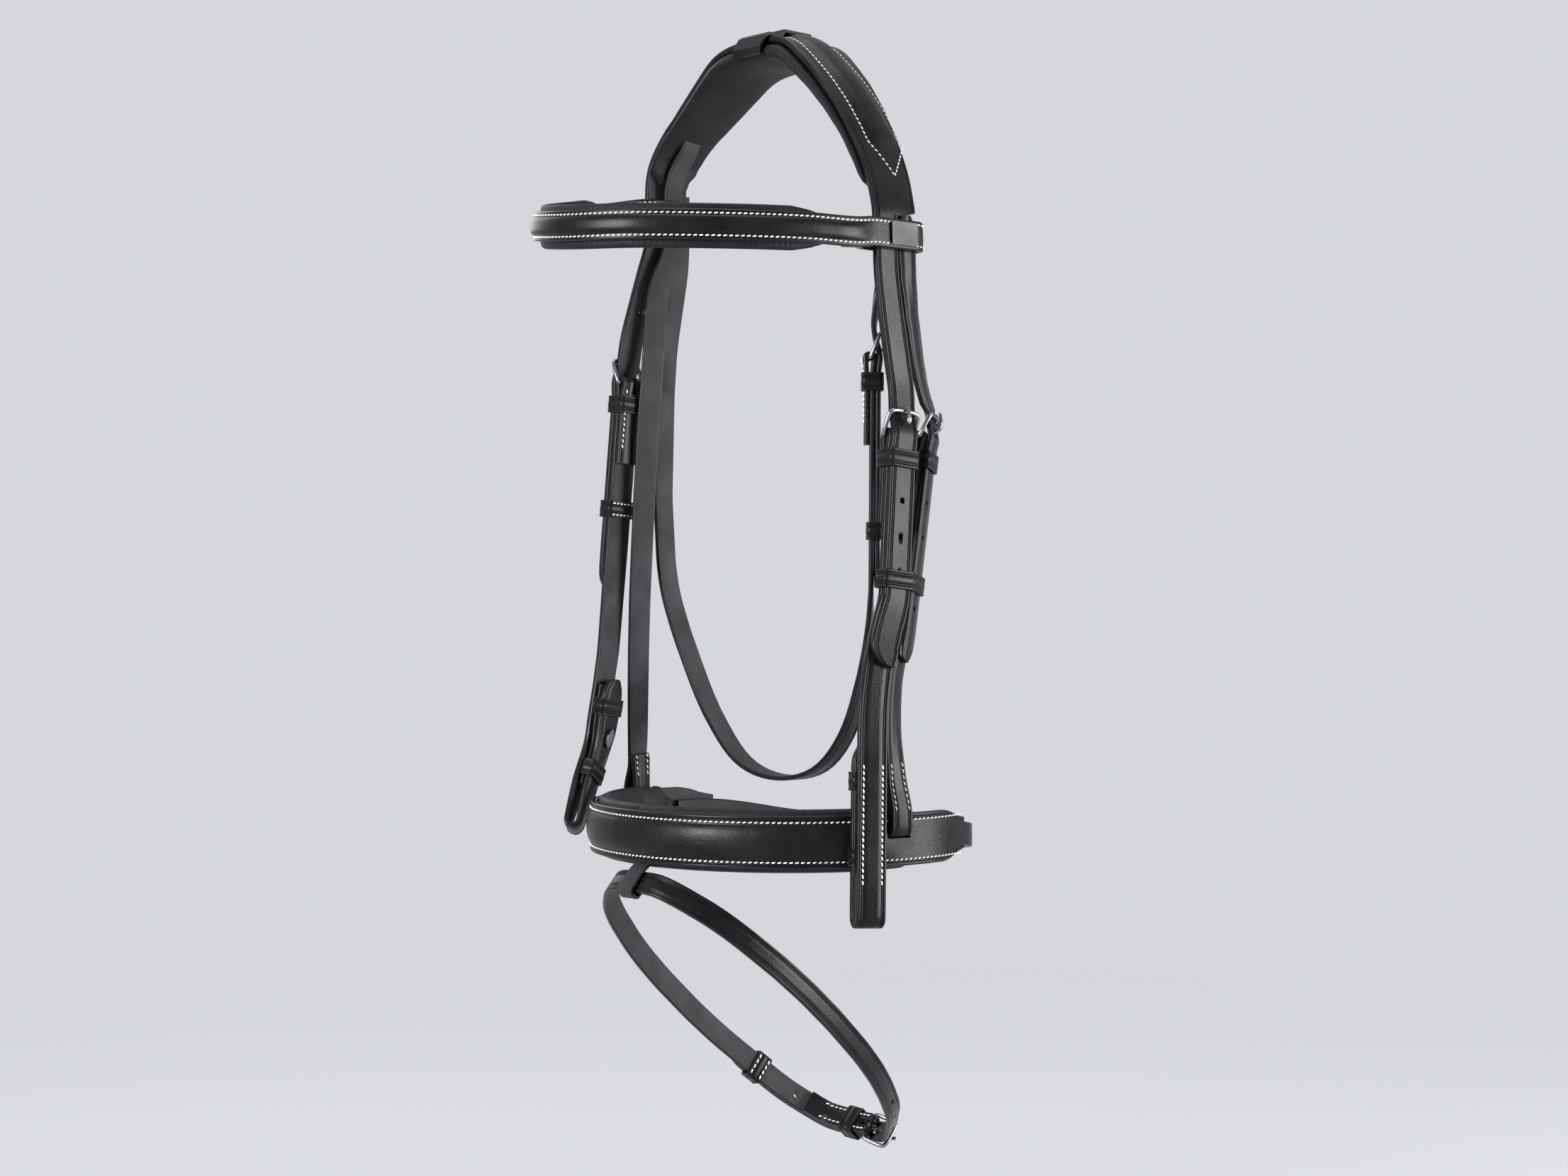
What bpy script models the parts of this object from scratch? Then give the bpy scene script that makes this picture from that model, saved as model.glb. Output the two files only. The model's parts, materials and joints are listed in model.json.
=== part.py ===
"""A black leather English bridle: padded crown, browband, two cheekpieces with hook-stud ends,
throatlatch, padded noseband and flash strap.

Metres, +Z up. The horse faces -Y and its near (left) side is +X. The origin is the middle of the
crown's flat underside, where the bridle rests on the poll.
"""

import math
from bisect import bisect_right

import bmesh
import bpy
from mathutils import Vector

# The head that the bridle is shaped round
HEAD_HALF_WIDTH = 0.100
HEAD_HALF_DEPTH = 0.100
HEAD_LENGTH = 0.500

# Clearances and cuts
GAP = 0.0003
LOOSE = 0.0006
OVERRUN = 0.004
BEND_STEP = math.radians(6.5)
SHARP_ANGLE = math.radians(35.0)
LEAST_STEP = 0.0018
EASE_PARTS = 3
FOLD_STEPS = 6
LEVEL = [(0.0, 0.0)]

# Strap leather
CHEEK_WIDTH = 0.016
CHEEK_THICKNESS = 0.0032
SLIM_WIDTH = 0.0127
SLIM_THICKNESS = 0.0027
STRAP_EDGE = 0.0006
SPLIT_GAP = 0.0003
TIP_LENGTH = 0.012
# (share of the tip's length from its end, share of the width)
TIP_SHARES = [(0.0, 0.5), (0.4, 0.86), (1.0, 1.0)]

# Crown
CROWN_WIDTH = 0.042
LINING_WIDTH = 0.050
LINING_THICKNESS = 0.010
LINING_END_THICKNESS = 0.004
LINING_END_WIDTH = 0.034
LINING_SHORTS = {1: 0.012, -1: 0.003}
LINING_ROUND = 0.012
LINING_ROUND_STOPS = (0.2, 0.5, 1.0)
LINING_BLUNT_SHARE = 0.5
# A pad's section: (share of the half width, share of the thickness)
PAD_SIDE = 0.003
PAD_SHARES = [(-1.0, 0.35), (-0.86, 0.78), (-0.62, 1.0), (0.62, 1.0), (0.86, 0.78), (1.0, 0.35)]
PAD_END_SHARE = 0.45
POLL_FLAT = 0.012
RIDGE_BASE = 0.0105
RIDGE_TOP = 0.0082
RIDGE_HOLLOW = 0.0086
RIDGE_ROOF = 0.0070
# (half width, the most of the strap's half width that it takes up)
RIDGE_PROFILE = [(RIDGE_BASE, 0.8), (RIDGE_TOP, 0.62), (RIDGE_HOLLOW, 0.7), (RIDGE_ROOF, 0.5)]
RIDGE_FADE = 0.012
DIVE_LENGTH = 0.016
SLOT_CLEARANCE = 0.0006
POLL_KEEPER_LENGTH = 0.022
POLL_KEEPER_WALL = 0.0016
POLL_KEEPER_FOOT = 0.003
BILLET_ROOT = 0.009
ROOT_WIDTH_SHARE = 0.87
THROAT_LAP_SHORT = 0.0015

# Buckles, keepers and holes
ROD = 0.0024
FRAME_LENGTH = 0.0132
FRAME_SIDE_ROOM = 0.0006
FRAME_BOW = 0.0006
FRAME_CORNER_SHARE = 0.6
TONGUE_WIDTH = 0.0026
TONGUE_THICKNESS = 0.0018
TONGUE_PAST_BOW = 0.0024
# Turns of the tongue's eye round the bar, in degrees, and its rise in shares of the hole's distance
EYE_TURNS = (-60, -100, -140, -180, -220, -262)
TONGUE_SHARES = (0.42, 0.78, 1.0, 1.4, 2.1)
CHAPE_LENGTH = 0.045
CHAPE_EASE = 0.0065
CHAPE_SLOT = 0.0055
BILLET_EASE = 0.020
KEEPER_HEIGHT = 0.0095
KEEPER_WALL = 0.0013
HOLE_PITCH = 0.01905
HOLE_DIAMETER = 0.003
TONGUE_HOLE_BEFORE_BAR = 0.0042
TONGUE_HOLE_LENGTH = 0.0062
TONGUE_HOLE_WIDTH = 0.0036
KEEPER_PAST_BAR = 0.0118
SLIM_TIP = 0.120
CHEEK_TIPS = {1: 0.122, -1: 0.118}
CHEEK_BAR = 0.021
HANGER_BAR = 0.0135
THROAT_BAR = 0.010
CRANK_BAR = 0.010
CRANK_CHAPE = 0.020
CRANK_TIP = 0.058
FLASH_BAR = 0.008
FLASH_TIP = 0.100
RUNNERS = {"near_cheek": 0.075, "off_cheek": 0.071, "noseband": 0.078, "throat": 0.090, "crank": 0.035,
           "flash": 0.081}
# Holes in each billet, counted in pitches from the tongue's hole
NEAR_CHEEK_HOLES = (-2, -1, 2, 3, 4)
OFF_CHEEK_HOLES = (-2, -1, 2, 3, 4)
SLIM_HOLES = (-1, 2, 3, 5)
CRANK_HOLES = (-1, 1)
FLASH_HOLES = (-3, -2, -1, 2, 3)

# Hook-stud ends of the cheekpieces
BIT_RETURN_LENGTH = 0.093
BIT_BACKING_LENGTH = 0.060
BIT_BACKING_FOOT = 0.026
BIT_BACKING_THICKNESS = 0.0018
STUD_SPACE = 0.0016
BIT_KEEPER_WALL = 0.0010
BIT_KEEPER_UPPER = 0.074
BIT_KEEPER_LOWER = 0.036
BIT_STUD = 0.054
STUD_STEM_DIAMETER = 0.0032
STUD_HEAD_DIAMETER = 0.0066
STUD_HEAD_THICKNESS = 0.0007
STUD_HOOK_LENGTH = 0.0109
STUD_HOOK_WIDTH = 0.0052
STUD_HOOK_THICKNESS = 0.0016
STUD_HOOK_HEEL = 0.0008
STUD_SIDES = 12
STUD_HOLE_DIAMETER = 0.0042

# Browband
BROWBAND_HEIGHT = 0.0155
BROWBAND_THICKNESS = 0.0030
BROWBAND_PADDING_HEIGHT = 0.023
BROWBAND_PADDING_THICKNESS = 0.005
BROWBAND_ROLL = 0.0022
# (share of the half width, share of the roll's height)
ROLL_SHARES = [(0.62, 0.0), (0.5, 0.6), (0.25, 0.93), (-0.25, 0.93), (-0.5, 0.6), (-0.62, 0.0)]
ROLL_FADE = 0.022
BROWBAND_PAD_END = 0.030
LOOP_REAR = 0.0185
LOOP_FRONT = 0.012
LOOP_EASE = 0.008
LOOP_LAP = 0.012
# Where each loop's middle is along the cheek's straight run
LOOP_SHARES = {1: 0.44, -1: 0.52}
BROWBAND_ROOM = 0.0012
PLATE_AT = 0.011
PLATE_LENGTH = 0.018
PLATE_HEIGHT = 0.012
PLATE_THICKNESS = 0.0010

# Noseband
NOSEBAND_SHARES = (1.148, 1.03, -0.826)
NOSEBAND_INSIDE = 0.0088
NOSEBAND_HEIGHT = 0.027
NOSEBAND_THICKNESS = 0.0035
NOSEBAND_PADDING_HEIGHT = 0.0326
NOSEBAND_PADDING_THICKNESS = 0.0085
NOSEBAND_REAR_ANGLE = 20.0
NOSEBAND_STEP = 10.0
NOSEBAND_PAD_TURN = 4.0
NOSEBAND_PAD_END = 0.020
NOSEBAND_TAPER_ANGLE = 12.0
NOSEBAND_END_SHARE = 0.62
POCKET_ROOM = 0.0012
HANGER_ANGLE = -10.0
NOSEBAND_RIM = 0.0072
NOSEBAND_SLOT_HEIGHT = 0.0125
NOSEBAND_SLOT_ROOM = 0.0018
HANGER_LOOP_LENGTH = 0.028
HANGER_CLEAR = 0.0045
HANGER_OVER = 0.0013
HANGER_EASE = 0.014
CRANK_LAP_TURNS = (6.0, 18.0)

# Flash strap and its tab
FLASH_TAB_WIDTH = 0.012
FLASH_TAB_THICKNESS = 0.0018
FLASH_TAB_UNDER = 0.012
FLASH_TAB_ROOM = 0.0009
FLASH_TAB_SHORT = 0.0032
TAB_CORNER = 0.0012
FLASH_FORWARD = 0.0025
FLASH_HANG = 0.0101
FLASH_TIP_ROWS = 7
FLASH_LENGTH_SHARE = 0.2275
FLASH_HALF_WIDTH_SHARE = 0.64
FLASH_TILT = 48.0

NEAR_CHEEK_SHARES = [
    (0.42, -0.02, -0.016, 90, False),
    (0.56, -0.03, -0.050, 90, False),
    (0.69, -0.05, -0.090, 90, False),
    (0.79, -0.07, -0.128, 89, False),
    (0.865, -0.105, -0.162, 88, False),
    (0.887, -0.112, -0.178, 88, True),
    (0.895, -0.112, -0.230, 88, False),
    (0.905, -0.095, -0.270, 86, False),
    (0.915, -0.058, -0.322, 85, False),
    (0.923, -0.03, -0.370, 84, True),
    (0.987, -0.158, -0.576, 82, False),
    (1.005, -0.23, -0.608, 79, False),
    (1.036, -0.316, -0.648, 76, False),
    (1.080, -0.395, -0.712, 70, True),
    (1.140, -0.468, -0.900, 70, False),
]
OFF_CHEEK_SHARES = [
    (-0.32, -0.02, 0.016, -90, False),
    (-0.52, -0.04, -0.012, -90, False),
    (-0.69, -0.06, -0.038, -90, False),
    (-0.83, -0.09, -0.064, -90, False),
    (-0.915, -0.115, -0.092, -90, False),
    (-0.93, -0.125, -0.116, -90, True),
    (-0.93, -0.125, -0.170, -90, False),
    (-0.932, -0.18, -0.208, -88, False),
    (-0.940, -0.24, -0.246, -87, False),
    (-0.953, -0.295, -0.296, -86, True),
    (-0.990, -0.375, -0.524, -85, False),
    (-1.000, -0.392, -0.580, -84, False),
    (-1.012, -0.41, -0.632, -82, False),
    (-1.028, -0.438, -0.678, -79, True),
    (-1.045, -0.470, -0.722, -79, False),
    (-1.050, -0.530, -0.757, -63, True),
    (-1.038, -0.600, -0.785, -63, False),
    (-1.015, -0.700, -0.828, -50, False),
]
# The headpiece's rear billet on the near side, which carries the noseband
NEAR_REAR_BILLET_SHARES = [
    (0.885, 0.072, -0.270, 100, False),
    (0.878, 0.128, -0.322, 106, False),
    (0.869, 0.182, -0.356, 111, False),
]
NEAR_HANGER_SHARES = [
    (0.858, 0.250, -0.386, 115, True),
    (0.925, -0.005, -0.610, 112, False),
    (0.970, -0.125, -0.664, 105, False),
    (1.015, -0.185, -0.716, 99, False),
]
OFF_HANGER_SHARES = [
    (-0.856, -0.100, -0.196, -98, False),
    (-0.852, -0.165, -0.222, -106, False),
    (-0.852, -0.215, -0.300, -114, False),
    (-0.862, -0.246, -0.380, -116, False),
    (-0.882, -0.255, -0.462, -114, False),
    (-0.905, -0.262, -0.536, -110, False),
    (-0.965, -0.235, -0.660, -103, False),
    (-1.010, -0.200, -0.724, -99, False),
]
# The strap in the crown's tunnel comes down inside the near cheek as the throatlatch's billet
NEAR_THROAT_TOP_SHARES = [
    (0.810, -0.048, -0.250, 108, False),
    (0.775, -0.050, -0.272, 124, False),
]
NEAR_THROAT_SHARES = [
    (0.735, -0.050, -0.308, 137, True),
    (0.712, -0.036, -0.560, 137, False),
    (0.690, -0.028, -0.612, 126, False),
    (0.620, -0.018, -0.672, 108, False),
    (0.510, -0.010, -0.722, 96, False),
    (0.300, 0.0, -0.762, 92, False),
    (0.012, 0.005, -0.776, 90, False),
    (-0.330, 0.010, -0.762, 88, False),
    (-0.580, 0.012, -0.716, 84, False),
    (-0.775, 0.0, -0.650, 84, False),
    (-0.890, -0.060, -0.572, 86, False),
    (-0.925, -0.082, -0.480, 88, False),
    (-0.920, -0.080, -0.380, 88, False),
    (-0.910, -0.055, -0.290, 90, False),
    (-0.896, 0.002, -0.222, 90, False),
]
BROWBAND_SHARES = [
    (0.935, -0.32, -0.203, False),
    (0.880, -0.66, -0.204, False),
    (0.680, -1.08, -0.205, False),
    (0.360, -1.40, -0.204, False),
    (0.020, -1.50, -0.201, False),
    (-0.330, -1.43, -0.193, False),
    (-0.660, -1.14, -0.179, False),
    (-0.890, -0.72, -0.162, False),
    (-0.975, -0.44, -0.150, False),
]
CRANK_SHARES = [
    (0.90, 0.52, -0.832, False),
    (0.72, 0.66, -0.838, False),
    (0.42, 0.72, -0.842, False),
    (0.10, 0.74, -0.844, True),
    (-0.66, 0.655, -0.838, False),
]
# Points of the flash ring, in shares of its half length and half width from its middle
FLASH_SHARES = [
    (0.985, 0.20, True),
    (0.955, -0.34, False),
    (0.86, -0.56, False),
    (0.70, -0.74, True),
    (0.42, -0.90, False),
    (0.0, -1.0, False),
    (-0.50, -0.88, False),
    (-0.86, -0.55, False),
    (-1.0, -0.17, True),
    (-1.0, 0.17, False),
    (-0.86, 0.55, False),
    (-0.50, 0.88, False),
    (0.0, 1.0, False),
    (0.50, 0.86, False),
    (0.86, 0.50, False),
]
# Places in the cheek routes, the poll's two points counted in
DIVE_POINT, LOOP_TOP, LOOP_FOOT, RUN_TOP = 4, 7, 8, 11


def place(x, y, z):
    """A point from its shares of the head's half width, half depth and length."""
    return Vector((x * HEAD_HALF_WIDTH, y * HEAD_HALF_DEPTH, z * HEAD_LENGTH))


def facing(azimuth):
    """The width direction of an upright strap whose grain side faces this way, 0 being -Y."""
    angle = math.radians(azimuth)
    return Vector((math.cos(angle), math.sin(angle), 0.0))


def eased(share):
    share = min(max(share, 0.0), 1.0)
    return share * share * (3.0 - 2.0 * share)


class Route:
    """A smooth line through points, straight where a run is marked, with the strap's width direction."""

    PER_SPAN = 14

    def __init__(self, points, acrosses, runs):
        self.distances, self.samples, self.marks = [0.0], [], [0.0]
        last = len(points) - 1
        chords = [points[i + 1] - points[i] for i in range(last)]
        slopes = [self._slope(i, last, chords, runs) for i in range(last + 1)]
        knots = {0.0}
        for i in range(last):
            steps = 1 if runs[i] else self.PER_SPAN
            for step in range(steps + (i == last - 1)):
                self._add(points, acrosses, slopes, chords[i].length, i, step / steps)
            total = self.distances[-1] + (points[i + 1] - self.samples[-1][0]).length
            self.marks.append(total if i < last - 1 else self.distances[-1])
            if runs[i]:
                knots |= set(self.marks[-2:])
        self.length = self.distances[-1]
        self.fixed = self._fixed(knots | {self.length})

    @staticmethod
    def _slope(i, last, chords, runs):
        before, after = chords[max(i - 1, 0)], chords[min(i, last - 1)]
        if i < last and runs[i]:
            return after.normalized()
        if i > 0 and runs[i - 1]:
            return before.normalized()
        return (before.normalized() * after.length + after.normalized() * before.length).normalized()

    def _add(self, points, acrosses, slopes, length, i, share):
        a, b = points[i], points[i + 1]
        u, v = slopes[i] * length, slopes[i + 1] * length
        s2, s3 = share * share, share * share * share
        point = a * (2 * s3 - 3 * s2 + 1) + b * (3 * s2 - 2 * s3)
        point += u * (s3 - 2 * s2 + share) + v * (s3 - s2)
        along = a * (6 * s2 - 6 * share) + u * (3 * s2 - 4 * share + 1) + b * (6 * share - 6 * s2)
        along += v * (3 * s2 - 2 * share)
        across = acrosses[i].lerp(acrosses[i + 1], share)
        if self.samples:
            self.distances.append(self.distances[-1] + (point - self.samples[-1][0]).length)
        self.samples.append((point, along.normalized(), across))

    def _fixed(self, knots):
        """The distances that every layer of this route has a station at: ends of runs, and bends."""
        found = []
        _, along, across, _ = self.frame(0.0)
        for distance in self.distances:
            _, new_along, new_across, _ = self.frame(distance)
            turned = new_along.angle(along, 0.0) + new_across.angle(across, 0.0)
            clear = all(abs(distance - knot) > LEAST_STEP for knot in knots)
            if turned > BEND_STEP and clear:
                found.append(distance)
            if turned > BEND_STEP or not clear:
                along, across = new_along, new_across
        return sorted(set(found) | knots)

    def frame(self, distance):
        """(point, along, across, outward) at a distance; past an end the line goes straight on."""
        i = min(max(bisect_right(self.distances, distance) - 1, 0), len(self.samples) - 2)
        span = self.distances[i + 1] - self.distances[i]
        share = (distance - self.distances[i]) / span
        inside = min(max(share, 0.0), 1.0)
        (a, along_a, across_a), (b, along_b, across_b) = self.samples[i], self.samples[i + 1]
        along = along_a.lerp(along_b, inside).normalized()
        point = a.lerp(b, inside) + along * ((share - inside) * span)
        across = across_a.lerp(across_b, inside)
        across = (across - along * across.dot(along)).normalized()
        return point, along, across, along.cross(across)

    def stops(self, start, end, wanted=()):
        """Distances from start to end: the wanted ones, and the fixed ones that are clear of them."""
        low, high = min(start, end), max(start, end)
        found = [low, high]
        for distances, least in ((sorted(wanted), GAP / 2), (self.fixed, LEAST_STEP)):
            for distance in distances:
                if low < distance < high and min(abs(distance - stop) for stop in found) > least:
                    found.append(distance)
        return sorted(found, reverse=end < start)


def rise_at(marks, distance):
    """The offset outward at a distance, from (distance, offset) marks in rising order."""
    if distance <= marks[0][0]:
        return marks[0][1]
    for (a, low), (b, high) in zip(marks, marks[1:]):
        if distance <= b:
            return low + (high - low) * eased((distance - a) / (b - a))
    return marks[-1][1]


def ease_stops(marks):
    """The distances of the marks, and some between two that differ."""
    found = [distance for distance, _ in marks]
    for (a, rise_a), (b, rise_b) in zip(marks, marks[1:]):
        if abs(rise_a - rise_b) > GAP / 2:
            found += [a + (b - a) * part / EASE_PARTS for part in range(1, EASE_PARTS)]
    return found


def tip_stops(tip):
    return [tip + way * share * TIP_LENGTH for way in (-1, 1) for share, _ in TIP_SHARES[1:]]


def stations_at(route, stops, marks=LEVEL, face=1.0, side=None):
    """Stations (point, across, outward) of a layer that lies at an offset from a route."""
    stations = []
    for stop in stops:
        point, _, across, outward = route.frame(stop)
        shift = side(stop) if side else 0.0
        stations.append((point + outward * rise_at(marks, stop) + across * shift, across, outward * face))
    return stations


def layer(route, start, end, marks=LEVEL, face=1.0, side=None, tip=None):
    wanted = ease_stops(marks) + (tip_stops(tip) if tip is not None else [])
    return stations_at(route, route.stops(start, end, wanted), marks, face, side)


def fold(route, distance, rise_from, rise_to, heading):
    """Stations round a turned end: the strap heads on past the distance and comes back."""
    point, along, across, outward = route.frame(distance)
    middle, radius = (rise_from + rise_to) / 2, abs(rise_from - rise_to) / 2
    toward = math.copysign(1.0, rise_from - rise_to)
    stations = []
    for step in range(1, FOLD_STEPS):
        angle = math.pi * step / FOLD_STEPS
        radial = outward * (toward * math.cos(angle)) + along * (heading * math.sin(angle))
        mitre = 1 / math.cos(math.pi / FOLD_STEPS / 2)
        stations.append((point + outward * middle + radial * radius * mitre, across, radial))
    return stations


def other_hand(stations):
    """The same stations with the width direction reversed, to carry a strap over from the near side."""
    return [(point, -across, outward) for point, across, outward in stations]


def joined(*lists):
    """One list of stations, without those that nearly coincide with the one before."""
    made = []
    for station in (station for part in lists for station in part):
        if not made or (station[0] - made[-1][0]).length > GAP:
            made.append(station)
    return made


def mitred(points, across):
    """Stations along a line of straight pieces, with the section stretched at the corners."""
    runs = [(following - point).normalized() for point, following in zip(points, points[1:])]
    stations = []
    for point, behind, ahead in zip(points, runs[:1] + runs, runs + runs[-1:]):
        run = (ahead + behind).normalized()
        stations.append((point, across, across.cross(run) / run.dot(ahead)))
    return stations


def flat_section(front, rear, thickness):
    """A strap's section: square flesh side, eased grain side."""
    half, edge = thickness / 2, STRAP_EDGE
    return [(-front, -half), (rear, -half), (rear, half - edge), (rear - edge, half), (edge - front, half),
            (-front, half - edge)]


def strap_section(width, thickness):
    return flat_section(width / 2, width / 2, thickness)


def plain_section(width, thickness):
    half, high = width / 2, thickness / 2
    return [(-half, -high), (half, -high), (half, high), (-half, high)]


def round_section(radius, sides=8):
    turns = [2 * math.pi * (side + 0.5) / sides for side in range(sides)]
    return [(radius * math.cos(turn), radius * math.sin(turn)) for turn in turns]


def raised_section(width, thickness, roll):
    """A strap's section with a rounded roll along the middle of the grain side."""
    half, high, edge = width / 2, thickness / 2, STRAP_EDGE
    crown = [(half * wide, high + roll * tall) for wide, tall in ROLL_SHARES]
    rear = [(-half, -high), (half, -high), (half, high - edge), (half - edge, high)]
    return [*rear, *crown, (edge - half, high), (-half, high - edge)]


def pad_section(width, thickness):
    """A pad's section: flat towards the leather, sides drawn in, the other face crowned."""
    side = min(PAD_SIDE, width / 4)
    lower = [(width / 2 * wide, -thickness * deep) for wide, deep in PAD_SHARES]
    return [(side - width / 2, 0.0), *lower, (width / 2 - side, 0.0)]


def crown_section(front, rear, ridge):
    """The headpiece's section: a flat strap with a hollow ridge over the tunnel, which can be nil."""
    half, edge, middle, room = CHEEK_THICKNESS / 2, STRAP_EDGE, (rear - front) / 2, (rear + front) / 2
    base, top, hollow, roof = (min(wide, room * share) for wide, share in RIDGE_PROFILE)
    channel = [(-hollow, 0.0), (-roof, ridge), (roof, ridge), (hollow, 0.0)]
    raised = [(base, 0.0), (top, ridge), (-top, ridge), (-base, 0.0)]
    under = [(-front, -half), *[(middle + wide, tall - half) for wide, tall in channel], (rear, -half)]
    over = [(rear, half - edge), (rear - edge, half), *[(middle + wide, tall + half) for wide, tall in raised]]
    return under + over + [(edge - front, half), (-front, half - edge)]


def material(name, colour, roughness, metallic=0.0):
    made = bpy.data.materials.new(name)
    made.use_nodes = True
    shader = made.node_tree.nodes["Principled BSDF"]
    shader.inputs["Base Color"].default_value = (*colour, 1.0)
    shader.inputs["Roughness"].default_value = roughness
    shader.inputs["Metallic"].default_value = metallic
    return made


def solid(name, rings, finish, closed=False, origin=None):
    """One object from rings of points, each joined to the next, and capped unless closed."""
    origin = origin or Vector()
    work = bmesh.new()
    made = [[work.verts.new(point - origin) for point in ring] for ring in rings]
    pairs = list(zip(made, made[1:])) + ([(made[-1], made[0])] if closed else [])
    for ring, following in pairs:
        for i in range(len(ring)):
            j = (i + 1) % len(ring)
            work.faces.new((ring[i], ring[j], following[j], following[i]))
    if not closed:
        work.faces.new(made[0][::-1])
        work.faces.new(made[-1])
    bmesh.ops.recalc_face_normals(work, faces=work.faces)
    mesh = bpy.data.meshes.new(name)
    work.to_mesh(mesh)
    work.free()
    mesh.shade_smooth()
    mesh.set_sharp_from_angle(angle=SHARP_ANGLE)
    thing = bpy.data.objects.new(name, mesh)
    thing.location = origin
    if finish:
        mesh.materials.append(finish)
    bpy.context.scene.collection.objects.link(thing)
    return thing


def sweep(name, stations, section, finish, closed=False, origin=None):
    """A section carried along stations. The section is a list, or a function of the station's number."""
    rings = []
    for number, (point, across, outward) in enumerate(stations):
        outline = section(number) if callable(section) else section
        rings.append([point + across * wide + outward * high for wide, high in outline])
    return solid(name, rings, finish, closed, origin)


def tip_shares(stations, first=False, last=False):
    """The share of the full width at each station, less towards a tip at either end."""
    gone = [0.0]
    for (point, _, _), (following, _, _) in zip(stations, stations[1:]):
        gone.append(gone[-1] + (following - point).length)
    marks = [(share * TIP_LENGTH, width) for share, width in TIP_SHARES]
    shares = []
    for distance in gone:
        ends = [distance] * first + [gone[-1] - distance] * last
        shares.append(min((rise_at(marks, end) for end in ends), default=1.0))
    return shares


def strap(name, stations, width, thickness, finish, first=False, last=False):
    shares = tip_shares(stations, first, last)
    return sweep(name, stations, lambda number: strap_section(width * shares[number], thickness), finish)


def cut(thing, cutter, operation="DIFFERENCE"):
    """Cuts the cutter from the thing, or joins it on, and hides it as a guide."""
    cutter.hide_render = True
    cutter.display_type = "WIRE"
    boolean = thing.modifiers.new(cutter.name, "BOOLEAN")
    boolean.operation = operation
    boolean.solver = "EXACT"
    boolean.object = cutter


def block(name, centre, along, across, outward, sizes, finish=None):
    """A box with its sizes along three directions."""
    length, width, depth = (size / 2 for size in sizes)
    rings = []
    for end in (-length, length):
        corners = ((-width, -depth), (width, -depth), (width, depth), (-width, depth))
        rings.append([centre + along * end + across * w + outward * d for w, d in corners])
    return solid(name, rings, finish)


def punch(name, centre, outward, across, diameter, depth):
    """A round guide through leather."""
    other = outward.cross(across)
    rings = [[centre + outward * end + across * w + other * h for w, h in round_section(diameter / 2)]
             for end in (-depth / 2, depth / 2)]
    return solid(name, rings, None)


def ring_round(name, frame, low, high, width, height, wall, finish, side_room=GAP, origin=None):
    """A leather keeper: a flat band round whatever lies between two rises at this place."""
    point, along, across, outward = frame
    half_wide = width / 2 + side_room + wall / 2
    middle, half_deep = (low + high) / 2, (high - low) / 2 + GAP + wall / 2
    corner, lean = wall / 2, math.pi / 8
    stations = []
    for wide, deep in ((1, 1), (-1, 1), (-1, -1), (1, -1)):
        ends = [(half_wide, half_deep - corner, lean), (half_wide - corner, half_deep, math.pi / 2 - lean)]
        if wide * deep < 0:
            ends.reverse()
        for a, b, turn in ends:
            radial = across * (wide * math.cos(turn)) + outward * (deep * math.sin(turn))
            centre = point + across * (wide * a) + outward * (middle + deep * b)
            stations.append((centre, along, radial / math.cos(lean)))
    return sweep(name, stations, plain_section(height, wall), finish, closed=True, origin=origin)


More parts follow.
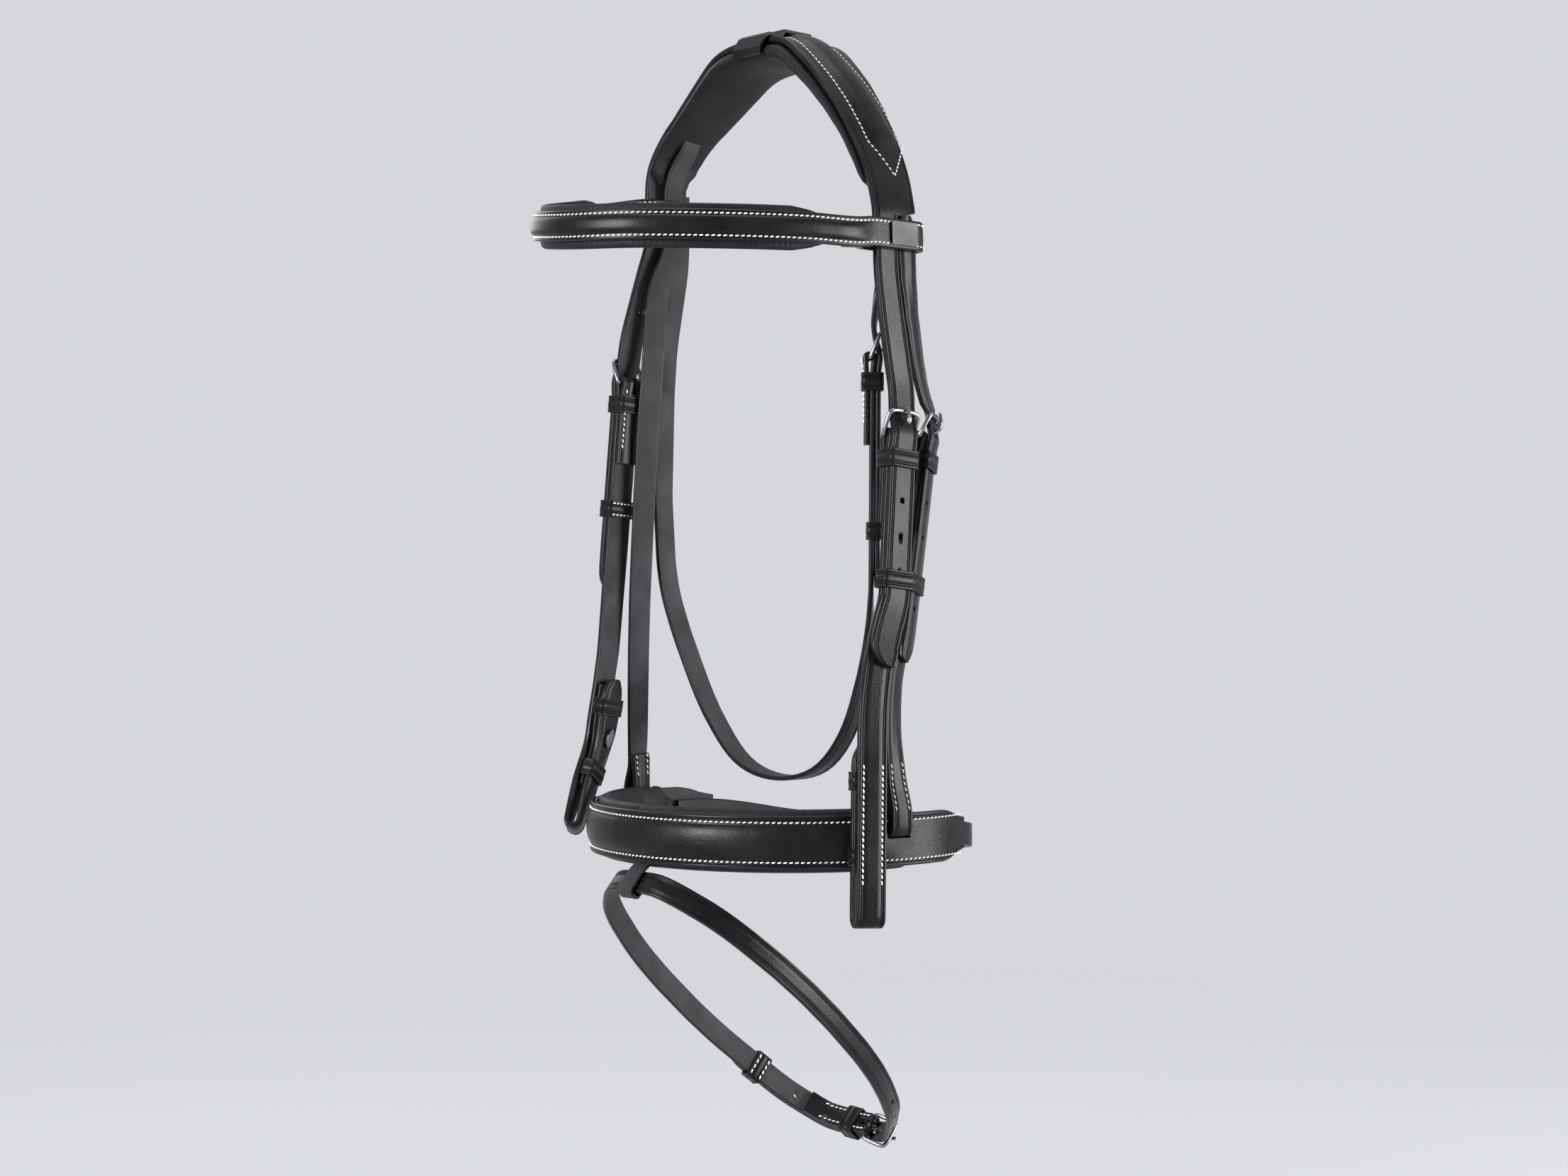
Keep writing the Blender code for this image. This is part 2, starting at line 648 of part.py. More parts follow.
class Buckle:
    """Places of a buckle's layers, as rises from the middle of the strap that carries it."""

    def __init__(self, name, route, bar, width, thickness, chape_length=CHAPE_LENGTH, turn_length=0.0):
        self.name, self.route, self.bar, self.width = name, route, bar, width
        self.thickness, self.chape_length, self.over_bar_at = thickness, chape_length, bar + turn_length
        self.bar_rise = -(thickness + GAP) / 2
        turn = ROD / 2 + GAP + thickness / 2
        self.fold_high, self.fold_low = self.bar_rise + turn, self.bar_rise - turn
        self.over_run = thickness + GAP
        self.return_rise = -self.over_run
        self.over_bar = self.fold_high + self.over_run
        self.over_bow = self.over_bar / 4
        self.bow_rise = self.over_bow + thickness / 2 + GAP + ROD / 2
        self.top = self.over_run + thickness / 2

    def under_marks(self):
        return [(self.bar, self.fold_high), (self.bar + CHAPE_EASE, 0.0)]

    def over_marks(self):
        bar = self.over_bar_at
        return [(bar - FRAME_LENGTH - BILLET_EASE, 0.0), (bar - FRAME_LENGTH, self.over_bow),
                (bar, self.over_bar), (bar + CHAPE_EASE, self.over_run)]

    def chape(self):
        """The turned end that holds the bar, going back inside for the chape's length."""
        back = [(self.bar, self.fold_low), (self.bar + CHAPE_EASE, self.return_rise)]
        turned = fold(self.route, self.bar, self.fold_high, self.fold_low, -1.0)
        return turned + layer(self.route, self.bar, self.bar + self.chape_length, back, face=-1.0)

    def cut_chape(self, thing):
        """The slot in the turned end that the tongue comes out of."""
        point, along, across, outward = self.route.frame(self.bar)
        reach = self.fold_high - self.fold_low + self.thickness + OVERRUN
        length = reach / 2 + CHAPE_SLOT
        centre = point + outward * self.bar_rise + along * (CHAPE_SLOT - length / 2)
        sizes = (length, TONGUE_WIDTH + LOOSE + GAP, reach)
        cut(thing, block(self.name + "_tongue_slot", centre, along, across, outward, sizes))

    def cut_billet(self, thing, steps):
        """The oval hole that the tongue stands in, and round holes counted in pitches from it."""
        marks, first = self.over_marks(), self.over_bar_at - TONGUE_HOLE_BEFORE_BAR
        depth = self.thickness + OVERRUN
        point, along, across, outward = self.route.frame(first)
        sizes = (TONGUE_HOLE_LENGTH, TONGUE_HOLE_WIDTH, depth)
        centre = point + outward * self.over_bar
        cut(thing, block(self.name + "_tongue_hole", centre, along, across, outward, sizes))
        for step in steps:
            spot = first + step * HOLE_PITCH
            point, _, across, outward = self.route.frame(spot)
            centre = point + outward * rise_at(marks, spot)
            cut(thing, punch(f"{self.name}_hole_{step}", centre, outward, across, HOLE_DIAMETER, depth))

    def add_frame(self):
        """A closed rod: straight bar, upright sides, slightly bowed top over the billet."""
        point, along, across, outward = self.route.frame(self.bar)
        centre = point + outward * self.bar_rise
        lift = math.atan2(self.bow_rise - self.bar_rise, FRAME_LENGTH)
        up = (outward * math.sin(lift) - along * math.cos(lift)).normalized()
        flat = across.cross(up)
        length = FRAME_LENGTH / math.cos(lift)
        side, corner = self.width / 2 + FRAME_SIDE_ROOM + ROD / 2, ROD * FRAME_CORNER_SHARE
        half = [(side, corner), (side, length - FRAME_BOW - corner), (side - corner, length - FRAME_BOW),
                (side / 2, length)]
        path = [(side - corner, 0.0)] + half + [(-w, h) for w, h in half[::-1]] + [(corner - side, 0.0)]
        stations = []
        for i, (wide, high) in enumerate(path):
            here, after = Vector((wide, high)), Vector(path[(i + 1) % len(path)])
            ahead, behind = (after - here).normalized(), (here - Vector(path[i - 1])).normalized()
            run = (ahead + behind).normalized()
            radial = (across * run.y - up * run.x) / run.dot(ahead)
            stations.append((centre + across * wide + up * high, flat, radial))
        return sweep(self.name + "_frame", stations, round_section(ROD / 2), STEEL, closed=True)

    def add_tongue(self):
        """A flat rod hooked round the bar, through the billet's hole and on to the bow."""
        point, along, across, outward = self.route.frame(self.bar)
        centre = point + outward * self.bar_rise
        half = TONGUE_THICKNESS / 2
        eye = ROD / 2 + GAP + half
        turns = [math.radians(turn) for turn in EYE_TURNS]
        spots = [(eye * math.cos(turn), eye * math.sin(turn)) for turn in turns]
        billet = self.over_bar - self.bar_rise
        billet_low, billet_top = billet - self.thickness / 2, billet + self.thickness / 2
        bow_top = self.bow_rise - self.bar_rise + ROD / 2 + GAP + half
        high = max(billet_top, bow_top) + half
        heights = (eye, billet_low - half, billet, billet_top + half, high + half / 2)
        spots += [(TONGUE_HOLE_BEFORE_BAR * share, height) for share, height in zip(TONGUE_SHARES, heights)]
        spots += [(FRAME_LENGTH, bow_top + GAP), (FRAME_LENGTH + TONGUE_PAST_BOW, bow_top - half / 2)]
        places = [centre - along * up + outward * out for up, out in spots]
        stations = []
        for i, spot in enumerate(places):
            run = (places[min(i + 1, len(places) - 1)] - places[max(i - 1, 0)]).normalized()
            stations.append((spot, across, run.cross(across)))
        outline = plain_section(TONGUE_WIDTH, TONGUE_THICKNESS)
        return sweep(self.name + "_tongue", stations, outline, STEEL, origin=centre)

    def add_keeper(self, name, past_bar, slides=False):
        """A band round the billet and the strap, and round the turned end if it reaches this far."""
        frame = self.route.frame(self.bar + past_bar)
        turned = past_bar < self.chape_length
        low = (self.return_rise if turned else 0.0) - self.thickness / 2
        room = LOOSE if slides else GAP
        return ring_round(name, frame, low, self.top, self.width, KEEPER_HEIGHT, KEEPER_WALL, LEATHER,
                          side_room=room, origin=frame[0] if slides else None)

    def add_fittings(self, runner_past_bar):
        self.add_frame()
        self.add_tongue()
        self.add_keeper(self.name + "_keeper", KEEPER_PAST_BAR)
        self.add_keeper(self.name + "_runner", runner_past_bar, slides=True)


def shared_route(table, first=(), acrosses=(), last=(), last_acrosses=(), last_run=False):
    """A route through a table's points, after and before points worked out from other pieces."""
    points = list(first) + [place(*row[:3]) for row in table] + list(last)
    widths = list(acrosses) + [facing(row[3]) for row in table] + list(last_acrosses)
    runs = [True] + [False] * (len(first) - 1) if first else []
    runs += [row[4] for row in table] + [False] * len(last)
    if last_run:
        runs[-2] = True
    return Route(points, widths, runs)


def offset_point(route, distance, rise, side):
    point, _, across, outward = route.frame(distance)
    return point + outward * rise + across * side


for old in list(bpy.data.objects):
    bpy.data.objects.remove(old, do_unlink=True)

LEATHER = material("black_leather", (0.012, 0.012, 0.013), 0.42)
PADDING = material("soft_black_padding", (0.014, 0.014, 0.015), 0.6)
STEEL = material("polished_steel", (0.62, 0.62, 0.64), 0.18, 1.0)
PEWTER = material("dark_pewter", (0.25, 0.25, 0.26), 0.35, 1.0)

# Rises below the headpiece's middle
SLIM_UNDER = CHEEK_THICKNESS / 2 + GAP + SLIM_THICKNESS / 2
SLIM_SPACING = SLIM_THICKNESS + GAP
LINING_TOP = -CHEEK_THICKNESS / 2 - GAP
TUNNEL_RISE = LINING_TOP + GAP + SLIM_THICKNESS / 2
RIDGE_HEIGHT = SLIM_THICKNESS + GAP
NOTCH_REAR = CHEEK_WIDTH / 2 + SPLIT_GAP + SLIM_WIDTH
SPLIT_SIDE = NOTCH_REAR - SLIM_WIDTH / 2
POLL_HEIGHT = LINING_THICKNESS - LINING_TOP


def cheek_route(table, side):
    poll = [Vector((0.0, 0.0, POLL_HEIGHT)), Vector((side * POLL_FLAT, 0.0, POLL_HEIGHT))]
    return shared_route(table, poll, [facing(table[0][3])] * 2)


NEAR_CHEEK = cheek_route(NEAR_CHEEK_SHARES, 1)
OFF_CHEEK = cheek_route(OFF_CHEEK_SHARES, -1)
CHEEKS = {1: NEAR_CHEEK, -1: OFF_CHEEK}
NEAR_NOTCH = NEAR_CHEEK.marks[LOOP_TOP]
OFF_NOTCH = (OFF_CHEEK.marks[LOOP_TOP] + OFF_CHEEK.marks[LOOP_FOOT]) / 2
LINING_ENDS = {side: cheek.marks[LOOP_TOP] - LINING_SHORTS[side] for side, cheek in CHEEKS.items()}
DIVES = {side: cheek.marks[DIVE_POINT] for side, cheek in CHEEKS.items()}
NOTCHES = {1: NEAR_NOTCH, -1: OFF_NOTCH}


def front_at(side, distance):
    """How far the headpiece reaches forward of the cheek's line."""
    cheek = CHEEKS[side]
    marks = [(cheek.marks[1], CROWN_WIDTH / 2), (cheek.marks[LOOP_TOP], CHEEK_WIDTH / 2)]
    return rise_at(marks, distance)


def band_middle(side, distance):
    """The middle of the headpiece's width, positive to the rear."""
    return (NOTCH_REAR - front_at(side, distance)) / 2


def lining_depth(side, distance):
    marks = [(CHEEKS[side].marks[1], LINING_THICKNESS), (LINING_ENDS[side], LINING_END_THICKNESS)]
    return rise_at(marks, distance)


def buckles():
    """The six buckles by name."""
    slim, cheek = (SLIM_WIDTH, SLIM_THICKNESS), (CHEEK_WIDTH, CHEEK_THICKNESS)
    run = CRANK.marks[CRANK_RUN] + CRANK_BAR
    return {
        "near_cheek": Buckle("near_cheek", NEAR_CHEEK, NEAR_CHEEK.marks[RUN_TOP] + CHEEK_BAR, *cheek),
        "off_cheek": Buckle("off_cheek", OFF_CHEEK, OFF_CHEEK.marks[RUN_TOP] + CHEEK_BAR, *cheek),
        "noseband": Buckle("noseband", NEAR_HANGER, HANGER_BAR, *slim),
        "throat": Buckle("throat", THROAT, THROAT_BAR, *slim),
        "crank": Buckle("crank", CRANK, run, *slim, chape_length=CRANK_CHAPE),
        "flash": Buckle("flash", FLASH, FLASH_BAR, *slim, turn_length=FLASH_TURN),
    }


def noseband_point(turn, rise=0.0):
    """A point at an angle round the noseband's ellipse, 0 at the near side and -90 in front."""
    angle = math.radians(turn)
    long = NOSEBAND_SHARES[0] * HEAD_HALF_WIDTH - NOSEBAND_INSIDE
    deep = NOSEBAND_SHARES[1] * HEAD_HALF_DEPTH
    normal = Vector((math.cos(angle) / long, math.sin(angle) / deep, 0.0)).normalized()
    centre = Vector((long * math.cos(angle), deep * math.sin(angle), NOSEBAND_SHARES[2] * HEAD_LENGTH))
    return centre + normal * rise


def noseband_distance(turn):
    index, part = divmod((NOSEBAND_REAR_ANGLE - turn) / NOSEBAND_STEP, 1.0)
    low = NOSEBAND.marks[int(index)]
    high = NOSEBAND.marks[min(int(index) + 1, len(NOSEBAND.marks) - 1)]
    return low + (high - low) * part


DOWN = Vector((0.0, 0.0, -1.0))
TURNS = range(int(NOSEBAND_REAR_ANGLE), -int(NOSEBAND_REAR_ANGLE) - 181, -int(NOSEBAND_STEP))
NOSEBAND = Route([noseband_point(turn) for turn in TURNS], [DOWN] * len(TURNS), [False] * len(TURNS))
HANGER_TURNS = {1: HANGER_ANGLE, -1: -180.0 - HANGER_ANGLE}


def hanger_route(table, side, first=(), acrosses=()):
    """A slim strap's route down to the lower edge of the noseband's rim."""
    point, along, _, _ = NOSEBAND.frame(noseband_distance(HANGER_TURNS[side]))
    across = -along
    foot = point - DOWN * (NOSEBAND_HEIGHT / 2 - NOSEBAND_RIM)
    clear = foot - DOWN * (NOSEBAND_RIM + HANGER_CLEAR)
    return shared_route(table, first, acrosses, [clear, foot], [across] * 2, last_run=True)


def loop_points(side, rise):
    """Where a slim strap in the middle of the band passes through the browband's loop."""
    cheek, found = CHEEKS[side], []
    for mark in (LOOP_TOP, LOOP_FOOT):
        distance = cheek.marks[mark]
        found.append(offset_point(cheek, distance, rise, side * band_middle(side, distance)))
    return found, [cheek.frame(cheek.marks[mark])[2] for mark in (LOOP_TOP, LOOP_FOOT)]


NEAR_HANGER = hanger_route(NEAR_HANGER_SHARES, 1)
OFF_HANGER = hanger_route(OFF_HANGER_SHARES, -1, *loop_points(-1, -SLIM_UNDER - SLIM_SPACING))
HANGERS = {1: NEAR_HANGER, -1: OFF_HANGER}
LAP_ENDS = [OFF_CHEEK.marks[LOOP_FOOT], OFF_CHEEK.marks[LOOP_TOP] + THROAT_LAP_SHORT]
LAP_POINTS = [offset_point(OFF_CHEEK, end, -SLIM_UNDER, -SPLIT_SIDE) for end in LAP_ENDS]
LAP_ACROSSES = [-OFF_CHEEK.frame(end)[2] for end in LAP_ENDS]
THROAT = shared_route(NEAR_THROAT_SHARES, last=LAP_POINTS, last_acrosses=LAP_ACROSSES, last_run=True)
CRANK_INSIDE = -NOSEBAND_THICKNESS / 2 - LOOSE - SLIM_THICKNESS / 2
CRANK_POINTS = [noseband_point(turn, CRANK_INSIDE) for turn in CRANK_LAP_TURNS]
CRANK_POINTS += [place(*row[:3]) for row in CRANK_SHARES]
CRANK_POINTS += [noseband_point(-180.0 - turn, CRANK_INSIDE) for turn in CRANK_LAP_TURNS[::-1]]
CRANK_RUNS = [False] * 2 + [row[3] for row in CRANK_SHARES] + [False] * 2
CRANK_RUN = CRANK_RUNS.index(True)
CRANK = Route(CRANK_POINTS, [-DOWN] * len(CRANK_POINTS), CRANK_RUNS)

# The flash strap's ring leans forward under the noseband; its pivot is where the tab holds it
FLASH_LEAN = math.radians(FLASH_TILT)
FLASH_DOWN = Vector((0.0, math.sin(FLASH_LEAN), -math.cos(FLASH_LEAN)))
FLASH_ACROSS = Vector((0.0, math.cos(FLASH_LEAN), math.sin(FLASH_LEAN)))
FRONT = NOSEBAND.frame(noseband_distance(-90.0))[0]
FLASH_PIVOT = FRONT + Vector((0.0, -FLASH_FORWARD, -NOSEBAND_HEIGHT / 2 - FLASH_HANG))


def flash_point(down_share, near_share):
    long, wide = FLASH_LENGTH_SHARE * HEAD_LENGTH, FLASH_HALF_WIDTH_SHARE * HEAD_HALF_WIDTH
    return FLASH_PIVOT + FLASH_DOWN * (long * (1.0 + down_share)) + Vector((wide * near_share, 0.0, 0.0))


FLASH_ROWS = FLASH_SHARES + FLASH_SHARES[:FLASH_TIP_ROWS]
FLASH_POINTS = [flash_point(down, near) for down, near, _ in FLASH_ROWS]
FLASH = Route(FLASH_POINTS, [FLASH_ACROSS] * len(FLASH_ROWS), [run for _, _, run in FLASH_ROWS])
FLASH_TURN = FLASH.marks[len(FLASH_SHARES)]
BUCKLES = buckles()


def extents_at(side, distance, tip):
    """(front, rear, ridge) of the headpiece at a distance from the poll."""
    share = rise_at([(part * TIP_LENGTH, width) for part, width in TIP_SHARES], tip - distance)
    rear = NOTCH_REAR if distance < NOTCHES[side] + GAP / 2 else CHEEK_WIDTH / 2
    ridge = rise_at([(DIVES[side], RIDGE_HEIGHT), (DIVES[side] + RIDGE_FADE, 0.0)], distance)
    return front_at(side, distance) * share, rear * share, ridge


def ribbon(side, tip, marks, extra):
    """Distances and stations of the headpiece on one side, its width direction pointing to the rear."""
    cheek = CHEEKS[side]
    crown = [(cheek.marks[1], 0.0), (cheek.marks[LOOP_TOP], 1.0)]
    wanted = ease_stops(marks) + tip_stops(tip) + ease_stops(crown) + list(extra)
    stops = cheek.stops(0.0, tip, wanted)
    stations = stations_at(cheek, stops, marks)
    return stops, stations if side > 0 else other_hand(stations)


def add_headpiece():
    """One leather from billet to billet over the poll, with the noseband's billet split off it."""
    parts = {}
    for side, name in ((1, "near_cheek"), (-1, "off_cheek")):
        buckle = BUCKLES[name]
        tip = buckle.bar + CHEEK_TIPS[side]
        notch = NOTCHES[side]
        fade = ease_stops([(DIVES[side], 1.0), (DIVES[side] + RIDGE_FADE, 0.0)])
        stops, stations = ribbon(side, tip, buckle.over_marks(), [notch, notch + GAP, *fade])
        parts[side] = stations, [extents_at(side, stop, tip) for stop in stops]
    stations = parts[1][0][::-1] + parts[-1][0][1:]
    extents = parts[1][1][::-1] + parts[-1][1][1:]
    headpiece = sweep("headpiece", stations, lambda number: crown_section(*extents[number]), LEATHER)
    add_noseband_billet(headpiece)
    BUCKLES["near_cheek"].cut_billet(headpiece, NEAR_CHEEK_HOLES)
    BUCKLES["off_cheek"].cut_billet(headpiece, OFF_CHEEK_HOLES)
    BUCKLES["noseband"].cut_billet(headpiece, SLIM_HOLES)


def add_noseband_billet(headpiece):
    """The near rear part of the split headpiece, which goes on to the noseband's buckle."""
    buckle = BUCKLES["noseband"]
    loop = [NEAR_CHEEK.marks[LOOP_TOP], NEAR_CHEEK.marks[LOOP_FOOT]]
    first = [offset_point(NEAR_CHEEK, distance, 0.0, SPLIT_SIDE) for distance in loop]
    spots = [buckle.bar - FRAME_LENGTH, buckle.bar]
    marks = buckle.over_marks()
    last = [offset_point(NEAR_HANGER, spot, rise_at(marks, spot), 0.0) for spot in spots]
    acrosses = [NEAR_CHEEK.frame(distance)[2] for distance in loop]
    route = shared_route(NEAR_REAR_BILLET_SHARES, first, acrosses, last,
                         [NEAR_HANGER.frame(spot)[2] for spot in spots], last_run=True)
    tip = buckle.bar + SLIM_TIP
    root = layer(NEAR_CHEEK, NEAR_NOTCH - BILLET_ROOT, NEAR_NOTCH, side=lambda distance: SPLIT_SIDE)
    stations = joined(root, layer(route, GAP, route.marks[-2]),
                      layer(NEAR_HANGER, buckle.bar - FRAME_LENGTH, tip, marks, tip=tip))
    shares = tip_shares(stations, last=True)
    shares[:len(root)] = [ROOT_WIDTH_SHARE] * len(root)
    sections = [strap_section(SLIM_WIDTH * share, SLIM_THICKNESS) for share in shares]
    billet = sweep("noseband_billet", stations, lambda number: sections[number], None)
    cut(headpiece, billet, "UNION")


def tunnel_strap(side, end, last_rise):
    """The slim strap from the poll down one side: in the ridge, through the lining, and on inside."""
    start, lining_end = DIVES[side], LINING_ENDS[side]
    deep = [LINING_TOP - lining_depth(side, distance) - GAP - SLIM_THICKNESS / 2
            for distance in (start + DIVE_LENGTH, lining_end)]
    marks = [(start, TUNNEL_RISE), (start + DIVE_LENGTH, deep[0]), (lining_end, deep[1]), (end, last_rise)]
    cheek = CHEEKS[side]

    def shift(distance):
        return side * band_middle(side, distance)

    crown = ease_stops([(cheek.marks[1], 0.0), (cheek.marks[LOOP_TOP], 1.0)])
    stops = cheek.stops(0.0, end, ease_stops(marks) + crown)
    stations = stations_at(cheek, stops, marks, side=shift)
    low, high = start - GAP, start + DIVE_LENGTH + GAP
    inside = [station for station, stop in zip(stations, stops) if low < stop < high]
    return (stations, inside) if side > 0 else (other_hand(stations), other_hand(inside))


def hanger_loop(side):
    """A hanger's lower end: outside the noseband, through its slot, and back up inside."""
    route = HANGERS[side]
    foot, out = route.length, NOSEBAND_THICKNESS / 2 + LOOSE + SLIM_THICKNESS / 2
    clear = foot - NOSEBAND_RIM - HANGER_OVER
    back = [(foot - HANGER_LOOP_LENGTH, -SLIM_SPACING), (clear, -out)]
    returned = layer(route, foot - HANGER_LOOP_LENGTH, foot, back, face=-1.0)
    return returned + fold(route, foot, -out, out, 1.0), [(clear - HANGER_EASE, 0.0), (clear, out)]


def add_poll_strap():
    """The slim strap over the poll: throatlatch billet on the near side, noseband hanger on the off."""
    throat = BUCKLES["throat"]
    tip = throat.bar + SLIM_TIP
    marks = throat.over_marks()
    billet = layer(THROAT, tip, throat.bar - FRAME_LENGTH, marks, tip=tip)
    points, acrosses = loop_points(1, -SLIM_UNDER)
    spots = [throat.bar - FRAME_LENGTH, throat.bar]
    last = [offset_point(THROAT, spot, rise_at(marks, spot), 0.0) for spot in spots]
    last_acrosses = [THROAT.frame(spot)[2] for spot in spots]
    route = shared_route(NEAR_THROAT_TOP_SHARES, points, acrosses, last, last_acrosses, last_run=True)
    near, near_dive = tunnel_strap(1, NEAR_CHEEK.marks[LOOP_TOP], -SLIM_UNDER)
    off, off_dive = tunnel_strap(-1, OFF_CHEEK.marks[LOOP_TOP], -SLIM_UNDER - SLIM_SPACING)
    loop, hanging = hanger_loop(-1)
    lower = other_hand(layer(OFF_HANGER, 0.0, OFF_HANGER.length, hanging) + loop[::-1])
    stations = joined(billet, layer(route, route.marks[-2], 0.0), near[::-1], off, lower)
    poll_strap = strap("poll_strap", stations, SLIM_WIDTH, SLIM_THICKNESS, LEATHER, first=True)
    throat.cut_billet(poll_strap, SLIM_HOLES)
    return near_dive, off_dive


def add_crown_lining(dives):
    """The soft pad under the headpiece, flat at the poll, with slots that the slim strap comes through."""
    rings, shapes = [], []
    for side in (1, -1):
        cheek, end = CHEEKS[side], LINING_ENDS[side]
        widths = [(cheek.marks[1], LINING_WIDTH), (end, LINING_END_WIDTH)]
        rounded = [(0.0, 0.0), (LINING_ROUND, 1.0)]
        wanted = ease_stops(widths) + [end - share * LINING_ROUND for share in LINING_ROUND_STOPS]
        stops = cheek.stops(0.0, end, wanted)

        def shift(distance, side=side):
            return side * band_middle(side, distance)

        top = stations_at(cheek, stops, [(0.0, LINING_TOP)], side=shift)
        shape = []
        for stop in stops:
            blunt = LINING_BLUNT_SHARE + (1.0 - LINING_BLUNT_SHARE) * rise_at(rounded, end - stop)
            shape.append((rise_at(widths, stop) * blunt, lining_depth(side, stop)))
        rings.append(top if side > 0 else other_hand(top))
        shapes.append(shape)
    stations, sizes = rings[0][::-1] + rings[1][1:], shapes[0][::-1] + shapes[1][1:]
    lining = sweep("crown_lining", stations, lambda number: pad_section(*sizes[number]), PADDING)
    room = 2 * SLOT_CLEARANCE
    for name, dive in zip(("near", "off"), dives):
        section = flat_section((SLIM_WIDTH + room) / 2, (SLIM_WIDTH + room) / 2, SLIM_THICKNESS + room)
        cut(lining, sweep(name + "_lining_slot", dive, section, None))


def add_poll_keeper():
    """A band over the crown at the poll, with its ends at the lining's sides."""
    side = POLL_KEEPER_WALL / 2 + GAP
    top = LINING_THICKNESS + GAP + CHEEK_THICKNESS
    lining, crown = LINING_WIDTH / 2, CROWN_WIDTH / 2
    half = [(lining + 2 * side, POLL_KEEPER_FOOT), (lining + 2 * side, LINING_THICKNESS - PAD_SIDE),
            (crown + 2 * side, top), (crown, top + side + GAP), (RIDGE_BASE + side, top + side + GAP),
            (RIDGE_TOP + side, top + RIDGE_HEIGHT + side + GAP)]
    path = half + [(-w, h) for w, h in half[::-1]]
    stations = mitred([Vector((0.0, wide, high)) for wide, high in path], Vector((1.0, 0.0, 0.0)))
    sweep("poll_keeper", stations, plain_section(POLL_KEEPER_LENGTH, POLL_KEEPER_WALL), LEATHER)


def add_throatlatch():
    buckle = BUCKLES["throat"]
    stations = layer(THROAT, THROAT.length, buckle.bar, buckle.under_marks()) + buckle.chape()
    buckle.cut_chape(strap("throatlatch", stations, SLIM_WIDTH, SLIM_THICKNESS, LEATHER))


def add_cheekpiece(side, name):
    """A cheek strap with its buckle's turned end above and the bit's hook-stud loop below."""
    buckle, cheek = BUCKLES[name], CHEEKS[side]
    back_rise = -(CHEEK_THICKNESS + BIT_BACKING_THICKNESS + STUD_SPACE + 2 * GAP)
    radius = -back_rise / 2
    foot = cheek.length + radius + CHEEK_THICKNESS / 2
    tip = foot - BIT_RETURN_LENGTH
    returned = layer(cheek, tip, cheek.length, [(0.0, back_rise)], face=-1.0, tip=tip)
    turned = fold(cheek, cheek.length, back_rise, 0.0, 1.0)
    outer = layer(cheek, cheek.length, buckle.bar, buckle.under_marks())
    stations = returned + turned + outer + buckle.chape()
    cheekpiece = strap(name + "piece", stations, CHEEK_WIDTH, CHEEK_THICKNESS, LEATHER, first=True)
    buckle.cut_chape(cheekpiece)
    backing_rise = -CHEEK_THICKNESS / 2 - STUD_SPACE - BIT_BACKING_THICKNESS / 2
    ends = foot - BIT_BACKING_FOOT - BIT_BACKING_LENGTH, foot - BIT_BACKING_FOOT
    backing = strap(name + "_bit_backing", layer(cheek, *ends, [(0.0, backing_rise)]), CHEEK_WIDTH,
                    BIT_BACKING_THICKNESS, LEATHER)
    stud = foot - BIT_STUD
    point, _, across, outward = cheek.frame(stud)
    for thing, rise in ((backing, backing_rise), (cheekpiece, back_rise)):
        centre = point + outward * rise
        cut(thing, punch(thing.name + "_stud_hole", centre, outward, across, STUD_HOLE_DIAMETER, OVERRUN))
    add_stud(name + "_hook_stud", cheek.frame(stud), back_rise)
    low, high = back_rise - CHEEK_THICKNESS / 2, backing_rise + BIT_BACKING_THICKNESS / 2
    for end, up in (("upper", BIT_KEEPER_UPPER), ("lower", BIT_KEEPER_LOWER)):
        sizes = (CHEEK_WIDTH, KEEPER_HEIGHT, BIT_KEEPER_WALL)
        ring_round(f"{name}_bit_keeper_{end}", cheek.frame(foot - up), low, high, *sizes, LEATHER)


def add_stud(name, frame, back_rise):
    """A head behind the cheek strap, a stem through backing and return, and a hook plate inside."""
    point, along, across, outward = frame
    head = -CHEEK_THICKNESS / 2 - GAP
    plate = back_rise - CHEEK_THICKNESS / 2 - GAP

    def ring(rise, long, wide, shift=0.0):
        centre = point + outward * rise - along * shift
        turns = [2 * math.pi * (i + 0.5) / STUD_SIDES for i in range(STUD_SIDES)]
        return [centre - along * (long * math.cos(turn)) + across * (wide * math.sin(turn)) for turn in turns]

    big, stem, long = STUD_HEAD_DIAMETER / 2, STUD_STEM_DIAMETER / 2, STUD_HOOK_LENGTH / 2
    shift = long - stem - STUD_HOOK_HEEL
    neck, tip = head - STUD_HEAD_THICKNESS, plate - STUD_HOOK_THICKNESS
    hook = (long, STUD_HOOK_WIDTH / 2, shift)
    rings = [ring(head, big, big), ring(neck, big, big), ring(neck, stem, stem)]
    rings += [ring(plate, stem, stem), ring(plate, *hook), ring(tip, *hook)]
    solid(name, rings, STEEL)


def add_noseband_hanger():
    buckle = BUCKLES["noseband"]
    loop, hanging = hanger_loop(1)
    outer = layer(NEAR_HANGER, NEAR_HANGER.length, buckle.bar, buckle.under_marks() + hanging)
    stations = loop + outer + buckle.chape()
    buckle.cut_chape(strap("near_hanger", stations, SLIM_WIDTH, SLIM_THICKNESS, LEATHER))


